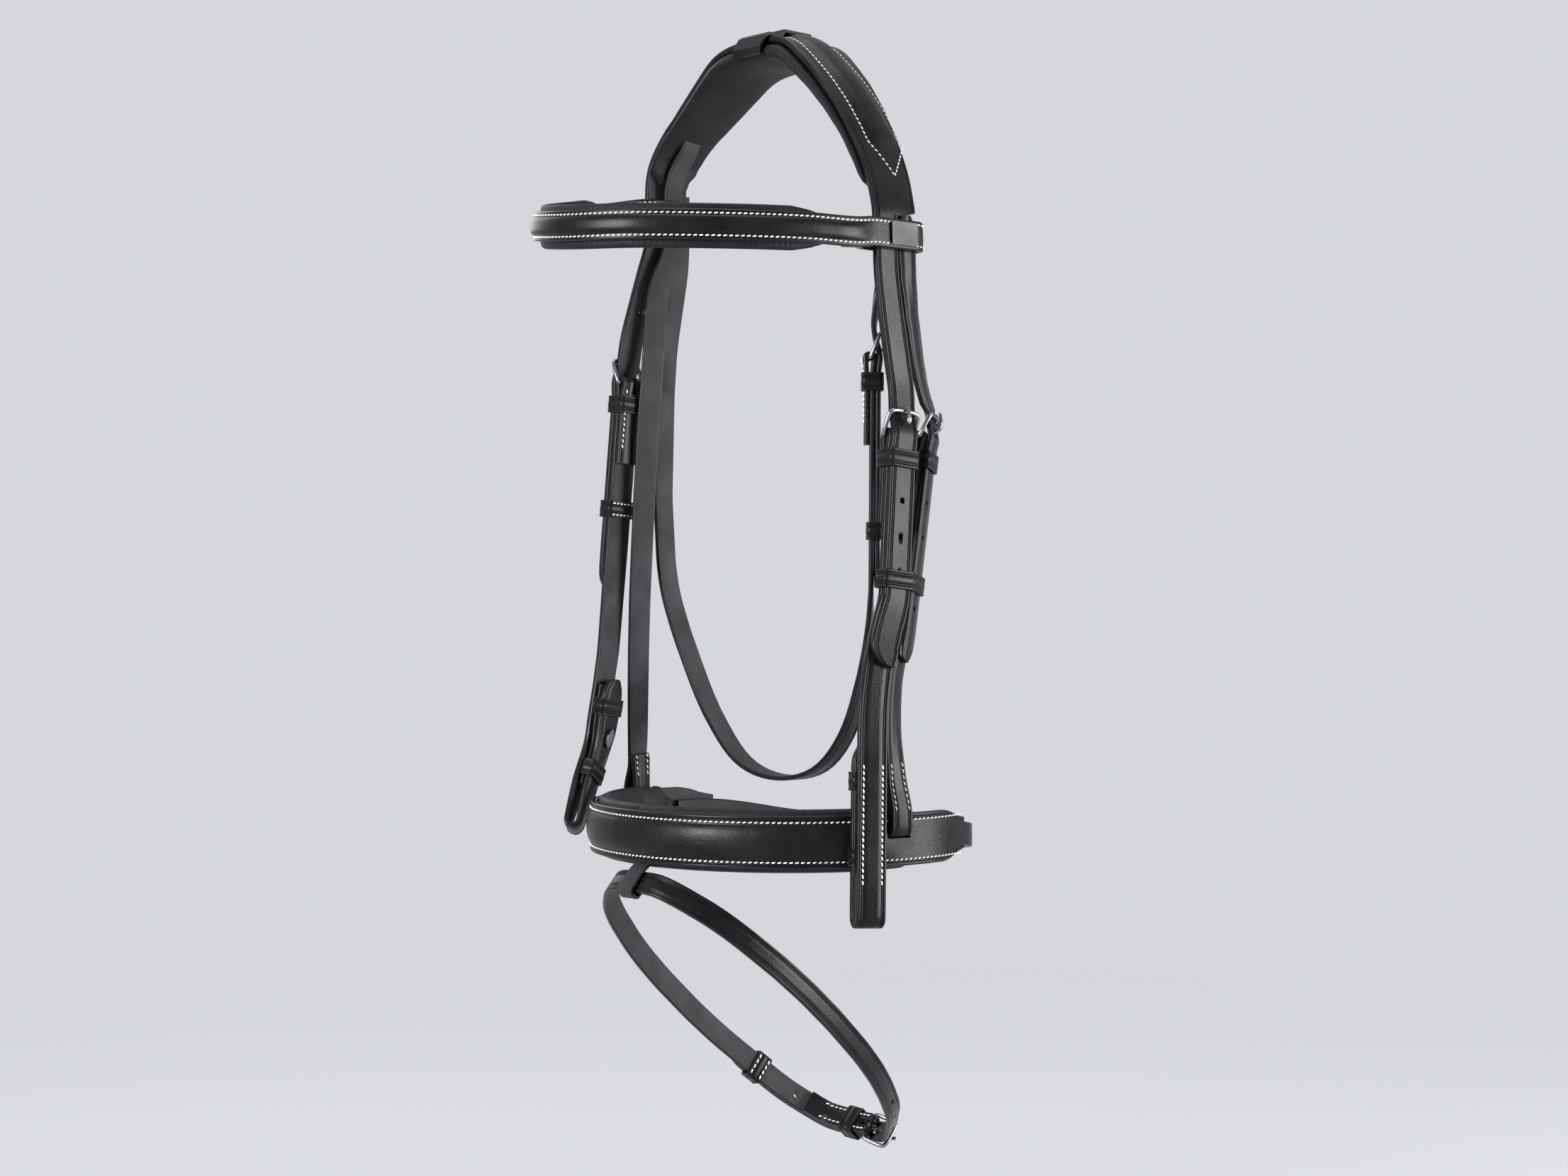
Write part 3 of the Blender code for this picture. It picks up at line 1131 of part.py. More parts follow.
def browband_route():
    """The browband's line: straight outside each loop, and round the forehead between them."""
    ends, acrosses = {}, {}
    for side, share in LOOP_SHARES.items():
        cheek = CHEEKS[side]
        top, foot = cheek.marks[LOOP_TOP], cheek.marks[LOOP_FOOT]
        distance = top + (foot - top) * share
        rise = CHEEK_THICKNESS / 2 + BROWBAND_ROOM + BROWBAND_THICKNESS / 2
        reaches = (LOOP_REAR, -LOOP_FRONT)
        ends[side] = [offset_point(cheek, distance, rise, side * reach) for reach in reaches]
        acrosses[side] = [cheek.frame(distance)[1]] * 2
    points = ends[1] + [place(*row[:3]) for row in BROWBAND_SHARES] + ends[-1][::-1]
    widths = acrosses[1] + [DOWN] * len(BROWBAND_SHARES) + acrosses[-1]
    runs = [True] + [False] * (len(BROWBAND_SHARES) + 1) + [True, False]
    return Route(points, widths, runs)


def loop_return(route, end, way, depth):
    """The browband's turned end, from its lap's tip to the loop's rear fold."""
    lap = -(BROWBAND_THICKNESS + GAP)
    corner = end + way * (LOOP_REAR + LOOP_FRONT)
    marks = sorted([(corner, -depth), (corner + way * LOOP_EASE, lap)])
    back = layer(route, corner + way * (LOOP_EASE + LOOP_LAP), end, marks, face=-1.0)
    return joined(back + fold(route, end, -depth, 0.0, -way))


def add_browband():
    route = browband_route()
    half = BROWBAND_THICKNESS / 2
    slim_stacks = {1: SLIM_UNDER, -1: SLIM_UNDER + SLIM_SPACING}
    depths = {side: stack + SLIM_THICKNESS / 2 + CHEEK_THICKNESS / 2 + 2 * (BROWBAND_ROOM + half)
              for side, stack in slim_stacks.items()}
    near = loop_return(route, 0.0, 1.0, depths[1])
    off = loop_return(route, route.length, -1.0, depths[-1])
    start, end = LOOP_REAR + LOOP_FRONT, route.length - LOOP_REAR - LOOP_FRONT
    rolls = [(start, 0.0), (start + ROLL_FADE, BROWBAND_ROLL), (end - ROLL_FADE, BROWBAND_ROLL), (end, 0.0)]
    stops = route.stops(0.0, route.length, ease_stops(rolls))
    outer = stations_at(route, stops)
    heights = [0.0] * len(near) + [rise_at(rolls, stop) for stop in stops] + [0.0] * len(off)
    sweep("browband_leather", near + outer + off[::-1],
          lambda number: raised_section(BROWBAND_HEIGHT, BROWBAND_THICKNESS, heights[number]), LEATHER)
    inset = start + LOOP_EASE + LOOP_LAP + GAP
    add_pad(route, "browband_padding", inset, route.length - inset, -half - GAP,
            (BROWBAND_PADDING_HEIGHT, BROWBAND_PADDING_THICKNESS), BROWBAND_PAD_END)
    point, along, across, outward = route.frame(PLATE_AT)
    centre = point + outward * (half + GAP + PLATE_THICKNESS / 2)
    sizes = (PLATE_LENGTH, PLATE_HEIGHT, PLATE_THICKNESS)
    block("browband_plate", centre, along, across, outward, sizes, PEWTER)


def add_pad(route, name, start, end, rise, sizes, end_length):
    """A pad along a route, its ends drawn in."""
    full = [(start + end_length, 1.0), (end - end_length, 1.0)]
    marks = [(start, PAD_END_SHARE), *full, (end, PAD_END_SHARE)]
    stops = route.stops(start, end, ease_stops(marks))
    shares = [rise_at(marks, stop) for stop in stops]
    sections = [pad_section(sizes[0] * share, sizes[1] * share) for share in shares]
    stations = stations_at(route, stops, [(0.0, rise)])
    return sweep(name, stations, lambda number: sections[number], PADDING)


def add_noseband():
    """The padded noseband: leather with a slot for each hanger, and a pad with pockets inside it."""
    taper = noseband_distance(NOSEBAND_REAR_ANGLE - NOSEBAND_TAPER_ANGLE)
    end = NOSEBAND.length
    marks = [(0.0, NOSEBAND_END_SHARE), (taper, 1.0), (end - taper, 1.0), (end, NOSEBAND_END_SHARE)]
    stops = NOSEBAND.stops(0.0, end, ease_stops(marks))
    heights = [NOSEBAND_HEIGHT * rise_at(marks, stop) for stop in stops]
    leather = sweep("noseband_leather", stations_at(NOSEBAND, stops),
                    lambda number: strap_section(heights[number], NOSEBAND_THICKNESS), LEATHER)
    rise = -NOSEBAND_THICKNESS / 2 - GAP
    ends = noseband_distance(NOSEBAND_PAD_TURN), noseband_distance(-180.0 - NOSEBAND_PAD_TURN)
    sizes = (NOSEBAND_PADDING_HEIGHT, NOSEBAND_PADDING_THICKNESS)
    pad = add_pad(NOSEBAND, "noseband_padding", *ends, rise, sizes, NOSEBAND_PAD_END)
    wide = SLIM_WIDTH + 2 * NOSEBAND_SLOT_ROOM
    deep = -rise + SLIM_THICKNESS + POCKET_ROOM
    for side, name in ((1, "near"), (-1, "off")):
        point, along, across, outward = NOSEBAND.frame(noseband_distance(HANGER_TURNS[side]))
        slot = point + across * (NOSEBAND_RIM + NOSEBAND_SLOT_HEIGHT / 2 - NOSEBAND_HEIGHT / 2)
        cut(leather, block(name + "_noseband_slot", slot, across, along, outward,
                           (NOSEBAND_SLOT_HEIGHT, wide, NOSEBAND_THICKNESS + OVERRUN)))
        tall = NOSEBAND_PADDING_HEIGHT / 2 + OVERRUN
        pocket = point - across * (tall / 2) - outward * (deep / 2)
        cut(pad, block(name + "_padding_pocket", pocket, across, along, outward, (tall, wide, deep)))
    return pad


def add_flash_tab(pad):
    """The short strap sewn behind the noseband's lower edge, carried round the flash strap."""
    half = FLASH_TAB_THICKNESS / 2
    behind = FRONT.y + NOSEBAND_THICKNESS / 2 + GAP + half
    edge = FRONT.z - NOSEBAND_HEIGHT / 2
    wide, deep = (size / 2 + FLASH_TAB_ROOM + half for size in (SLIM_WIDTH, SLIM_THICKNESS))
    path = [Vector((0.0, behind, edge + FLASH_TAB_UNDER)), Vector((0.0, behind, edge - half))]
    for across, out in ((1.0, 1.0), (-1.0, 1.0), (-1.0, -1.0)):
        for cut_across, cut_out in ((TAB_CORNER, 0.0), (0.0, TAB_CORNER))[::int(-across * out)]:
            corner = FLASH_ACROSS * (across * (wide - cut_across)) - FLASH_DOWN * (out * (deep - cut_out))
            path.append(FLASH_PIVOT + corner)
    path.append(FLASH_PIVOT + FLASH_ACROSS * (wide - FLASH_TAB_SHORT) + FLASH_DOWN * deep)
    section = strap_section(FLASH_TAB_WIDTH, FLASH_TAB_THICKNESS)
    sweep("flash_tab", mitred(path, Vector((1.0, 0.0, 0.0))), section, LEATHER)
    tall = FLASH_TAB_UNDER + 2 * OVERRUN
    centre = Vector((0.0, behind, edge + FLASH_TAB_UNDER + LOOSE - tall / 2))
    sizes = (tall, FLASH_TAB_WIDTH + 2 * FLASH_TAB_ROOM, FLASH_TAB_THICKNESS + 2 * FLASH_TAB_ROOM)
    cut(pad, block("tab_pocket", centre, -DOWN, Vector((1.0, 0.0, 0.0)), Vector((0.0, 1.0, 0.0)), sizes))


def add_crank():
    """The rear straps of the noseband, joined by a buckle."""
    buckle = BUCKLES["crank"]
    tip = buckle.bar + CRANK_TIP
    stations = layer(CRANK, 0.0, tip, buckle.over_marks(), tip=tip)
    billet = strap("crank_billet", stations, SLIM_WIDTH, SLIM_THICKNESS, LEATHER, last=True)
    buckle.cut_billet(billet, CRANK_HOLES)
    stations = layer(CRANK, CRANK.length, buckle.bar, buckle.under_marks()) + buckle.chape()
    buckle.cut_chape(strap("crank_strap", stations, SLIM_WIDTH, SLIM_THICKNESS, LEATHER))


def add_flash_strap():
    """One strap round the ring and over its own buckled end."""
    buckle = BUCKLES["flash"]
    tip = buckle.over_bar_at + FLASH_TIP
    marks = buckle.under_marks() + buckle.over_marks()
    stations = buckle.chape()[::-1] + layer(FLASH, buckle.bar, tip, marks, tip=tip)
    flash = strap("flash_strap", stations, SLIM_WIDTH, SLIM_THICKNESS, LEATHER, last=True)
    buckle.cut_chape(flash)
    buckle.cut_billet(flash, FLASH_HOLES)


add_headpiece()
add_crown_lining(add_poll_strap())
add_poll_keeper()
add_throatlatch()
add_cheekpiece(1, "near_cheek")
add_cheekpiece(-1, "off_cheek")
add_noseband_hanger()
add_browband()
add_flash_tab(add_noseband())
add_crank()
add_flash_strap()
for key, runner in RUNNERS.items():
    BUCKLES[key].add_fittings(runner)
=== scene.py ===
"""Looks of a black leather English bridle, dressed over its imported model.

Every strap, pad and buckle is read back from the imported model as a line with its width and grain
directions, and made again along that line with rounded edges, creases, holes and stitching.
Metres, +Z up; the horse faces -Y and its near (left) side is +X.
"""

import json
import math
from collections import namedtuple
from functools import cache

import bmesh
import bpy
import numpy as np
from bpy.props import FloatProperty, FloatVectorProperty, PointerProperty
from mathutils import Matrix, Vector

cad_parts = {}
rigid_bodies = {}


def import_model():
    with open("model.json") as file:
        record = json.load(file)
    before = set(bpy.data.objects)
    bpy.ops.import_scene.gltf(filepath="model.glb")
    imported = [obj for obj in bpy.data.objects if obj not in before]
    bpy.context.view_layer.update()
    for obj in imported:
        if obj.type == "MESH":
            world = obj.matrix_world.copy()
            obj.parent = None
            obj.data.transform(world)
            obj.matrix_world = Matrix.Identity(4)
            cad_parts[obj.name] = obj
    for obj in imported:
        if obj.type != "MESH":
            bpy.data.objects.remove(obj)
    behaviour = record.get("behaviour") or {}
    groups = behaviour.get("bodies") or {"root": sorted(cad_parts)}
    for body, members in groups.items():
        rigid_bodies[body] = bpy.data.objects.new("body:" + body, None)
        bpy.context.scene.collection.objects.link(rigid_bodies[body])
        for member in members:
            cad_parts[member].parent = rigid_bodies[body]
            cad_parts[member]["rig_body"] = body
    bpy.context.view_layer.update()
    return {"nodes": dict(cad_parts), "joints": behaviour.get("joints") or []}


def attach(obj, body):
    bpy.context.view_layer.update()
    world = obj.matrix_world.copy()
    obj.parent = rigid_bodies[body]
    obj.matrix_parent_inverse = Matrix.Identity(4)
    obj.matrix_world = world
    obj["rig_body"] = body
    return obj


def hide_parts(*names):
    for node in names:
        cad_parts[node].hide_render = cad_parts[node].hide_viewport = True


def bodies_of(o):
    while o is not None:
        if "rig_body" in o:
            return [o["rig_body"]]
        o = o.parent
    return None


bl_info = {
    "name": "English bridle",
    "version": (1, 0, 0),
    "blender": (4, 5, 0),
    "location": "View3D > Sidebar > Bridle",
    "description": "Leather, padding, stitching and steel of an English bridle over its packed model",
    "category": "Add Mesh",
}

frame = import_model()
JOINTS = {joint["name"]: joint for joint in frame["joints"]}
GRAIN, EDGE, FLESH = 0, 1, 2
FORWARD, NEAR, OFF = np.array([0.0, -1.0, 0.0]), np.array([1.0, 0.0, 0.0]), np.array([-1.0, 0.0, 0.0])

# Leather, rods and gaps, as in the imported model
CHEEK_WIDTH, CHEEK_THICKNESS = 0.016, 0.0032
SLIM_WIDTH, SLIM_THICKNESS = 0.0127, 0.0027
BACKING_THICKNESS = 0.0018
TAB_WIDTH, TAB_THICKNESS = 0.012, 0.0018
BROWBAND_HEIGHT, BROWBAND_THICKNESS = 0.0155, 0.0030
NOSEBAND_HEIGHT, NOSEBAND_THICKNESS = 0.027, 0.0035
BAND_WALL, BIT_BAND_WALL = 0.0013, 0.0010
ROD, GAP = 0.0024, 0.0003
TONGUE_WIDTH, TONGUE_THICKNESS = 0.0026, 0.0018
CHAPE_SLOT, CHAPE_SLOT_WIDTH = 0.0055, 0.0035

# Each strap's width and thickness, and the strap that carries each buckle
CHEEK, SLIM = (CHEEK_WIDTH, CHEEK_THICKNESS), (SLIM_WIDTH, SLIM_THICKNESS)
BACKING = (CHEEK_WIDTH, BACKING_THICKNESS)
STRAP_SIZES = {
    "poll_strap": SLIM, "throatlatch": SLIM, "near_hanger": SLIM, "crank_billet": SLIM, "crank_strap": SLIM,
    "flash_strap": SLIM, "flash_tab": (TAB_WIDTH, TAB_THICKNESS), "near_cheekpiece": CHEEK,
    "off_cheekpiece": CHEEK, "near_cheek_bit_backing": BACKING, "off_cheek_bit_backing": BACKING,
    "noseband_leather": (NOSEBAND_HEIGHT, NOSEBAND_THICKNESS),
    "browband_leather": (BROWBAND_HEIGHT, BROWBAND_THICKNESS),
}
BUCKLED = {"near_cheek": "near_cheekpiece", "off_cheek": "off_cheekpiece", "noseband": "near_hanger",
           "throat": "throatlatch", "crank": "crank_strap", "flash": "flash_strap"}
UNCREASED = ("flash_tab", "near_cheek_bit_backing", "off_cheek_bit_backing")

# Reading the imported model: how far corners of one point, one line and one flat side may lie apart
WELD, TOUCH, FLAT = 2e-6, 2e-4, 2e-5
SLACK = 0.0006
WALK_STEP, PAD_STEP, TONGUE_STEP, LEAST_STEP = 0.0012, 0.002, 0.0004, 0.00004
MOST_STEPS, SEED_ROUNDS, TURNS_TRIED, HINT_REACH = 3000, 4, 24, 0.001
HEADPIECE_HINT = (0.09, -0.03, -0.2)

# Shares of a strap's thickness, width and direction within which a section belongs to it
MIDDLE_SHARE, ASIDE_SHARE, FACING_SHARE, LEVEL_SHARE = 0.9, 0.3, 0.55, 0.3

# The most that a section may turn in a stride (radians, and radians a metre) and grow (shares)
ACROSS_TURN, ACROSS_TURN_RATE = 0.06, 120.0
GRAIN_TURN, GRAIN_TURN_RATE = 0.14, 520.0
SHAPED, SHAPED_LEEWAY = ("headpiece", "browband_leather"), 2.5
THICK_SHARE, SHAPED_THICK_SHARE, WIDE_SHARE = 1.5, 3.0, 1.25

# A tight fold, in radians a metre, and how far the walk may coast round it
TIGHT_FOLD, COAST_LENGTH, COAST_SECTIONS = 90.0, 0.011, 4
SMOOTH_REACH, SMOOTH_TURN = 0.006, 0.35

# Rings of a loft: how far apart, how near each other and how far turned from the last
RING_STEP, CROWN_RING_STEP, BAND_RING_STEP, GUIDE_RING_STEP = 0.005, 0.0025, 0.003, 0.002
RING_GAP, BEND_ANGLE, SHARP_ANGLE = 0.0002, math.radians(7.0), math.radians(50.0)

# A strap's corners as shares of their rounding: (in from its edge, in from its face)
FLESH_CORNER_SHARES = ((1.0, 0.0), (0.3, 0.3), (0.0, 1.0))
GRAIN_CORNER_SHARES = ((0.0, 1.0), (0.13, 0.5), (0.5, 0.13), (1.0, 0.0))
FLESH_ROUND_SHARE, GRAIN_ROUND_SHARE = 0.7, 0.9
CREASE_HALF_SHARE, CREASE_DEPTH_SHARES = 0.35, (1.0, 0.7)
FLAT_POINTS, ROLLED_POINTS = 2, 16

# A strap's rounded tip: places along it and the width there, as shares
TIP_LENGTH = 0.011
TIP_SPOTS = (0.0, 0.025, 0.07, 0.13, 0.25, 0.42, 0.7, 1.0)
TIP_SHARES = (0.34, 0.48, 0.56, 0.61, 0.71, 0.84, 0.96, 1.0)
TIP_TEST, TIP_TEST_SHARE = 0.004, 0.95

# Holes: the least and most across, how far in from a tip, and where across and through the leather
HOLE_LEAST, HOLE_MOST, HOLE_FROM_TIP = 0.002, 0.0075, TIP_LENGTH * 0.7
HOLE_ASIDE_SHARE, HOLE_DEEP_SHARE = 0.3, 0.7
HOLE_SIDES, HOLE_ROUNDING_SHARE, CUTTER_SHARE = 20, 1.04, 2.2

# Raised rolls: the two powers of a full and of a flatter one
FULL_ROLL, FLAT_ROLL = (2.6, 0.6), (2.4, 0.75)
CROWN_FRONT, WHOLE_CROWN = CHEEK_WIDTH / 2, CHEEK_WIDTH * 1.1
RIDGE_HALF, RIDGE_CENTRE = 0.0100, -0.0130
BROWBAND_ROLL_HALF = BROWBAND_HEIGHT * 0.31
NOSEBAND_ROLL_HALF, NOSEBAND_ROLL_RISE = 0.0088, 0.0021
NOSEBAND_ROLL_FROM, NOSEBAND_ROLL_FADE = 0.052, 0.030

# Room for the noseband's hangers, beside and over them, in its leather and in its pad
IN_LEATHER = 0.0029
SLOT_ROOM, POCKET_ROOM = (0.0008, 0.0006), (0.0020, 0.0016)
POCKET_BEFORE, POCKET_AFTER = 0.001, 0.012

# Pads: width and thickness to look for, fill, and the shape of their section and ends
CROWN_PAD, BROWBAND_PAD, NOSEBAND_PAD = (0.050, 0.010), (0.023, 0.005), (0.0326, 0.0085)
PAD_SIDES, PAD_RINGS_A_STITCH, PAD_LEAST_RINGS = 36, 3, 8
PAD_END, PAD_END_LEAST, PAD_END_SIDE_SHARE = 0.006, 0.0025, 0.35
PAD_SIDE_POWER, PAD_TOP_POWER, PAD_UNDER_POWER, PAD_TOP_SHARE = 0.75, 0.45, 0.85, 0.96
PAD_WAVE_SHARE, PAD_WAVES, PAD_WAVE_SHIFT = 0.035, (330.0, 97.0), 1.0

# Keepers and runners: corners, and the lines pressed along both edges
BAND_CORNER, BAND_CORNER_SIDES = 0.0016, 6
BAND_EDGE, BAND_EDGE_SHARE, BAND_EDGE_SIDES = 0.00045, 0.7, 3
BAND_LINES, BAND_LINE_HALF = (0.0016, 0.0026), 0.0003

# Buckles
FRAME_CORNER, FRAME_BOW, FRAME_SIDES = ROD * 0.6, 0.0006, 14
TONGUE_RING_STEP, TONGUE_SIDES, TONGUE_SQUARENESS = 0.0008, 16, 0.8
TONGUE_POINT_SHARE, TONGUE_TAPER = 0.8, 0.008
TONGUE_ROUND, TONGUE_ROUND_LEAST = 0.0009, 0.04
STUD_SOFTNESS, PLATE_SOFTNESS, POLL_KEEPER_SOFTNESS, SOFT_SEGMENTS = 0.0002, 0.0004, 0.0007, 3

# A stitch, ring by ring: (along, width, lift), as shares of its half length and of the thread
THREAD_RINGS = ((-1.0, 0.30, -0.42), (-0.78, 0.8, -0.02), (0.0, 1.0, 0.14), (0.78, 0.8, -0.02),
                (1.0, 0.30, -0.42))
THREAD_SIDES, THREAD_SLANT, THREAD_SHARE, THREAD_FLAT_SHARE = 6, math.radians(13.0), 0.74, 0.75

# Rows of stitches: how far in from the edges, and where they start and end
ROW_STEP = 0.0006
SLIM_ROW_INSET, CHEEK_ROW_INSET, CHAPE_ROW_INSET, RUNNER_ROW_INSET = 0.0024, 0.0027, 0.0021, 0.0016
BROWBAND_ROW_FROM_MIDDLE, BROWBAND_ROW_RISE = 0.0056, 0.00012
NOSEBAND_ROW_INSET, NOSEBAND_ROW_END = 0.0034, 0.004
CHAPE_ROW_START, CHAPE_ROW_END, CRANK_ROW_END = 0.0085, 0.043, 0.018
CHAPE_ROW_MARGIN, CHAPE_ROW_LEAST = 0.001, 0.004
V_TIPS, V_BEND_SHARE = ((0.2640, 0.2830), (0.4890, 0.4700)), 0.45
V_SIDE, V_FRONT, V_REAR = -0.0110, -0.0006, -0.0256
ROW_FACING_SHARE = 0.4

# Rows on the hanging straps: strap, its lowest and highest place, the side it faces, its inset
HANGING_ROWS = (
    ("near_cheekpiece", -0.434, -0.372, NEAR, CHEEK_ROW_INSET),
    ("off_cheekpiece", -0.399, -0.337, OFF, CHEEK_ROW_INSET),
    ("near_hanger", -0.399, -0.373, NEAR, SLIM_ROW_INSET),
    ("poll_strap", -0.392, -0.368, OFF, SLIM_ROW_INSET),
    ("poll_strap", -0.392, -0.368, NEAR, SLIM_ROW_INSET),
)

# Textures: scales in waves a metre, and the shares in which they are added
WARP_SCALE, WARP_REACH, PEBBLE_BANK = 260.0, 0.0012, 0.16
FINE_SCALE, FINE_SHARE, SLOW_SCALE, SLOW_SHARE = 2600.0, 0.35, 95.0, 0.9
PATCH_SCALE, SPECK_SCALE, SPECK_SHARE, WORN_FROM, WORN_TO = 42.0, 900.0, 0.25, 0.48, 0.82
COAT_ROUGHNESS, SPECULAR = 0.25, 0.11

# Camera: level, looking along the azimuth, and as far off as the photograph's perspective says
PHOTO_WIDTH = 2212
CAMERA_AZIMUTH = math.radians(47.0)
CAMERA_DISTANCE = 1.400
CAMERA_HEIGHT = -0.284
METRES_PER_PIXEL = 0.000388
SENSOR_WIDTH = 36.0

# Stage; a lamp's place is how far it is towards the camera, to its right and up, before size and watts
FLOOR_HEIGHT, FLOOR_RADIUS, FLOOR_SIDES = -0.66, 3.0, 48
FLOOR_CLEAR, FLOOR_GONE = 0.9, 1.44
FLOOR_PLAIN, FLOOR_ROUGHNESS, FLOOR_SPECULAR = 0.8, 0.8, 0.1
WORLD_STRENGTH = 0.08
LAMPS = (("key", 1.2, -1.3, 0.35, 0.7, 60.0), ("right", 0.35, 1.5, 0.1, 0.9, 52.0),
         ("top", 0.0, 0.0, 1.5, 1.0, 14.0), ("behind", -1.2, -0.9, 0.7, 0.9, 7.0))

Part = namedtuple("Part", "away front rear low high triangles lengths")
Section = namedtuple("Section", "point across outward front rear low high")
Place = namedtuple("Place", "point along across outward front rear low high")


class BridleSizes(bpy.types.PropertyGroup):
    """Sizes of the leather's finish."""

    edge_round: FloatProperty(name="Edge round", description="How far strap edges are rounded",
                              default=0.0009, min=0.0, unit="LENGTH")
    crease_inset: FloatProperty(name="Crease inset", description="From a strap's edge to its first line",
                                default=0.0019, min=0.0, unit="LENGTH")
    crease_spacing: FloatProperty(name="Crease spacing", description="Between the two crease lines",
                                  default=0.0010, min=0.0, unit="LENGTH")
    crease_depth: FloatProperty(name="Crease depth", description="How deep the crease lines are pressed",
                                default=0.00036, min=0.0, unit="LENGTH")
    stitch_pitch: FloatProperty(name="Stitch pitch", description="From one stitch to the next",
                                default=0.0030, min=0.001, unit="LENGTH")
    thread_width: FloatProperty(name="Thread width", description="Thickness of the waxed thread",
                                default=0.00085, min=0.0001, unit="LENGTH")
    pad_pucker: FloatProperty(name="Pad pucker", description="How far the stitches draw the padding in",
                              default=0.0005, min=0.0, unit="LENGTH")


class BridleColours(bpy.types.PropertyGroup):
    """Colours of the leather, thread, metal and backdrop."""

    leather: FloatVectorProperty(name="Leather", description="Grain side of the straps", subtype="COLOR",
                                 size=4, default=(0.0034, 0.0034, 0.0037, 1.0))
    flesh: FloatVectorProperty(name="Flesh side", description="Waxed inner side of straps", subtype="COLOR",
                               size=4, default=(0.032, 0.032, 0.034, 1.0))
    padding: FloatVectorProperty(name="Padding", description="Soft leather over the pads", subtype="COLOR",
                                 size=4, default=(0.0060, 0.0060, 0.0066, 1.0))
    thread: FloatVectorProperty(name="Thread", description="Waxed linen thread", subtype="COLOR",
                                size=4, default=(0.70, 0.69, 0.66, 1.0))
    steel: FloatVectorProperty(name="Steel", description="Stainless buckles and studs", subtype="COLOR",
                               size=4, default=(0.21, 0.21, 0.215, 1.0))
    plate: FloatVectorProperty(name="Plate", description="Plain plate on the browband", subtype="COLOR",
                               size=4, default=(0.036, 0.035, 0.034, 1.0))
    backdrop: FloatVectorProperty(name="Backdrop", description="Floor and backdrop", subtype="COLOR",
                                  size=4, default=(0.665, 0.680, 0.708, 1.0))


def sizes():
    return bpy.context.scene.bridle_sizes


def colours():
    return bpy.context.scene.bridle_colours


def vec(values):
    return np.array(list(values), float)


def unit(vector):
    return vector / np.linalg.norm(vector)


def square_to(vector, axis):
    """The vector's unit direction square to an axis."""
    return unit(vector - axis * (vector @ axis))


def between(distance, distances, rows):
    """The row at a distance, between the rows at known distances."""
    return np.array([np.interp(distance, distances, column) for column in rows.T])


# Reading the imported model

class Mesh:
    """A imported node's triangles, welded, with their normals."""

    def __init__(self, name):
        data = frame["nodes"][name].data
        data.calc_loop_triangles()
        points = np.array([vertex.co for vertex in data.vertices], float)
        _, first, index = np.unique(np.round(points / WELD), axis=0, return_index=True, return_inverse=True)
        faces = index.reshape(-1)[np.array([triangle.vertices for triangle in data.loop_triangles])]
        faces = faces[(faces != np.roll(faces, 1, axis=1)).all(axis=1)]
        self.points = points[first]
        a, b, c = (self.points[faces[:, i]] for i in range(3))
        cross = np.cross(b - a, c - a)
        areas = np.linalg.norm(cross, axis=1) / 2
        kept = areas > 0
        self.faces, self.areas = faces[kept], areas[kept]
        self.normals = cross[kept] / (2 * self.areas[:, None])

    def loops(self, origin, heading):
        """The closed lines in which a plane cuts the mesh: (points, triangles, segment lengths) of each."""
        heights = (self.points - origin) @ heading
        above = (heights > 0)[self.faces]
        loop_of, found = {}, []
        for row in np.nonzero(above.any(1) & ~above.all(1))[0]:
            ids, ends, edges = self.faces[row], [], []
            for i in range(3):
                p, q = sorted((ids[i], ids[(i + 1) % 3]))
                if (heights[p] > 0) != (heights[q] > 0):
                    share = heights[p] / (heights[p] - heights[q])
                    ends.append(self.points[p] + (self.points[q] - self.points[p]) * share)
                    edges.append((p, q))
            met = [loop_of[edge] for edge in edges if edge in loop_of]
            home = met[0] if met else []
            home.append(len(found))
            found.append((row, ends))
            for other in met[1:]:
                if other is not home:
                    home.extend(other)
                    loop_of.update({edge: home for edge, loop in loop_of.items() if loop is other})
            loop_of.update({edge: home for edge in edges})
        loops = []
        for home in {id(loop): loop for loop in loop_of.values()}.values():
            ends = np.array([found[i][1] for i in home])
            triangles = np.array([found[i][0] for i in home])
            loops.append((ends.reshape(-1, 3), triangles, np.linalg.norm(ends[:, 1] - ends[:, 0], axis=1)))
        return loops


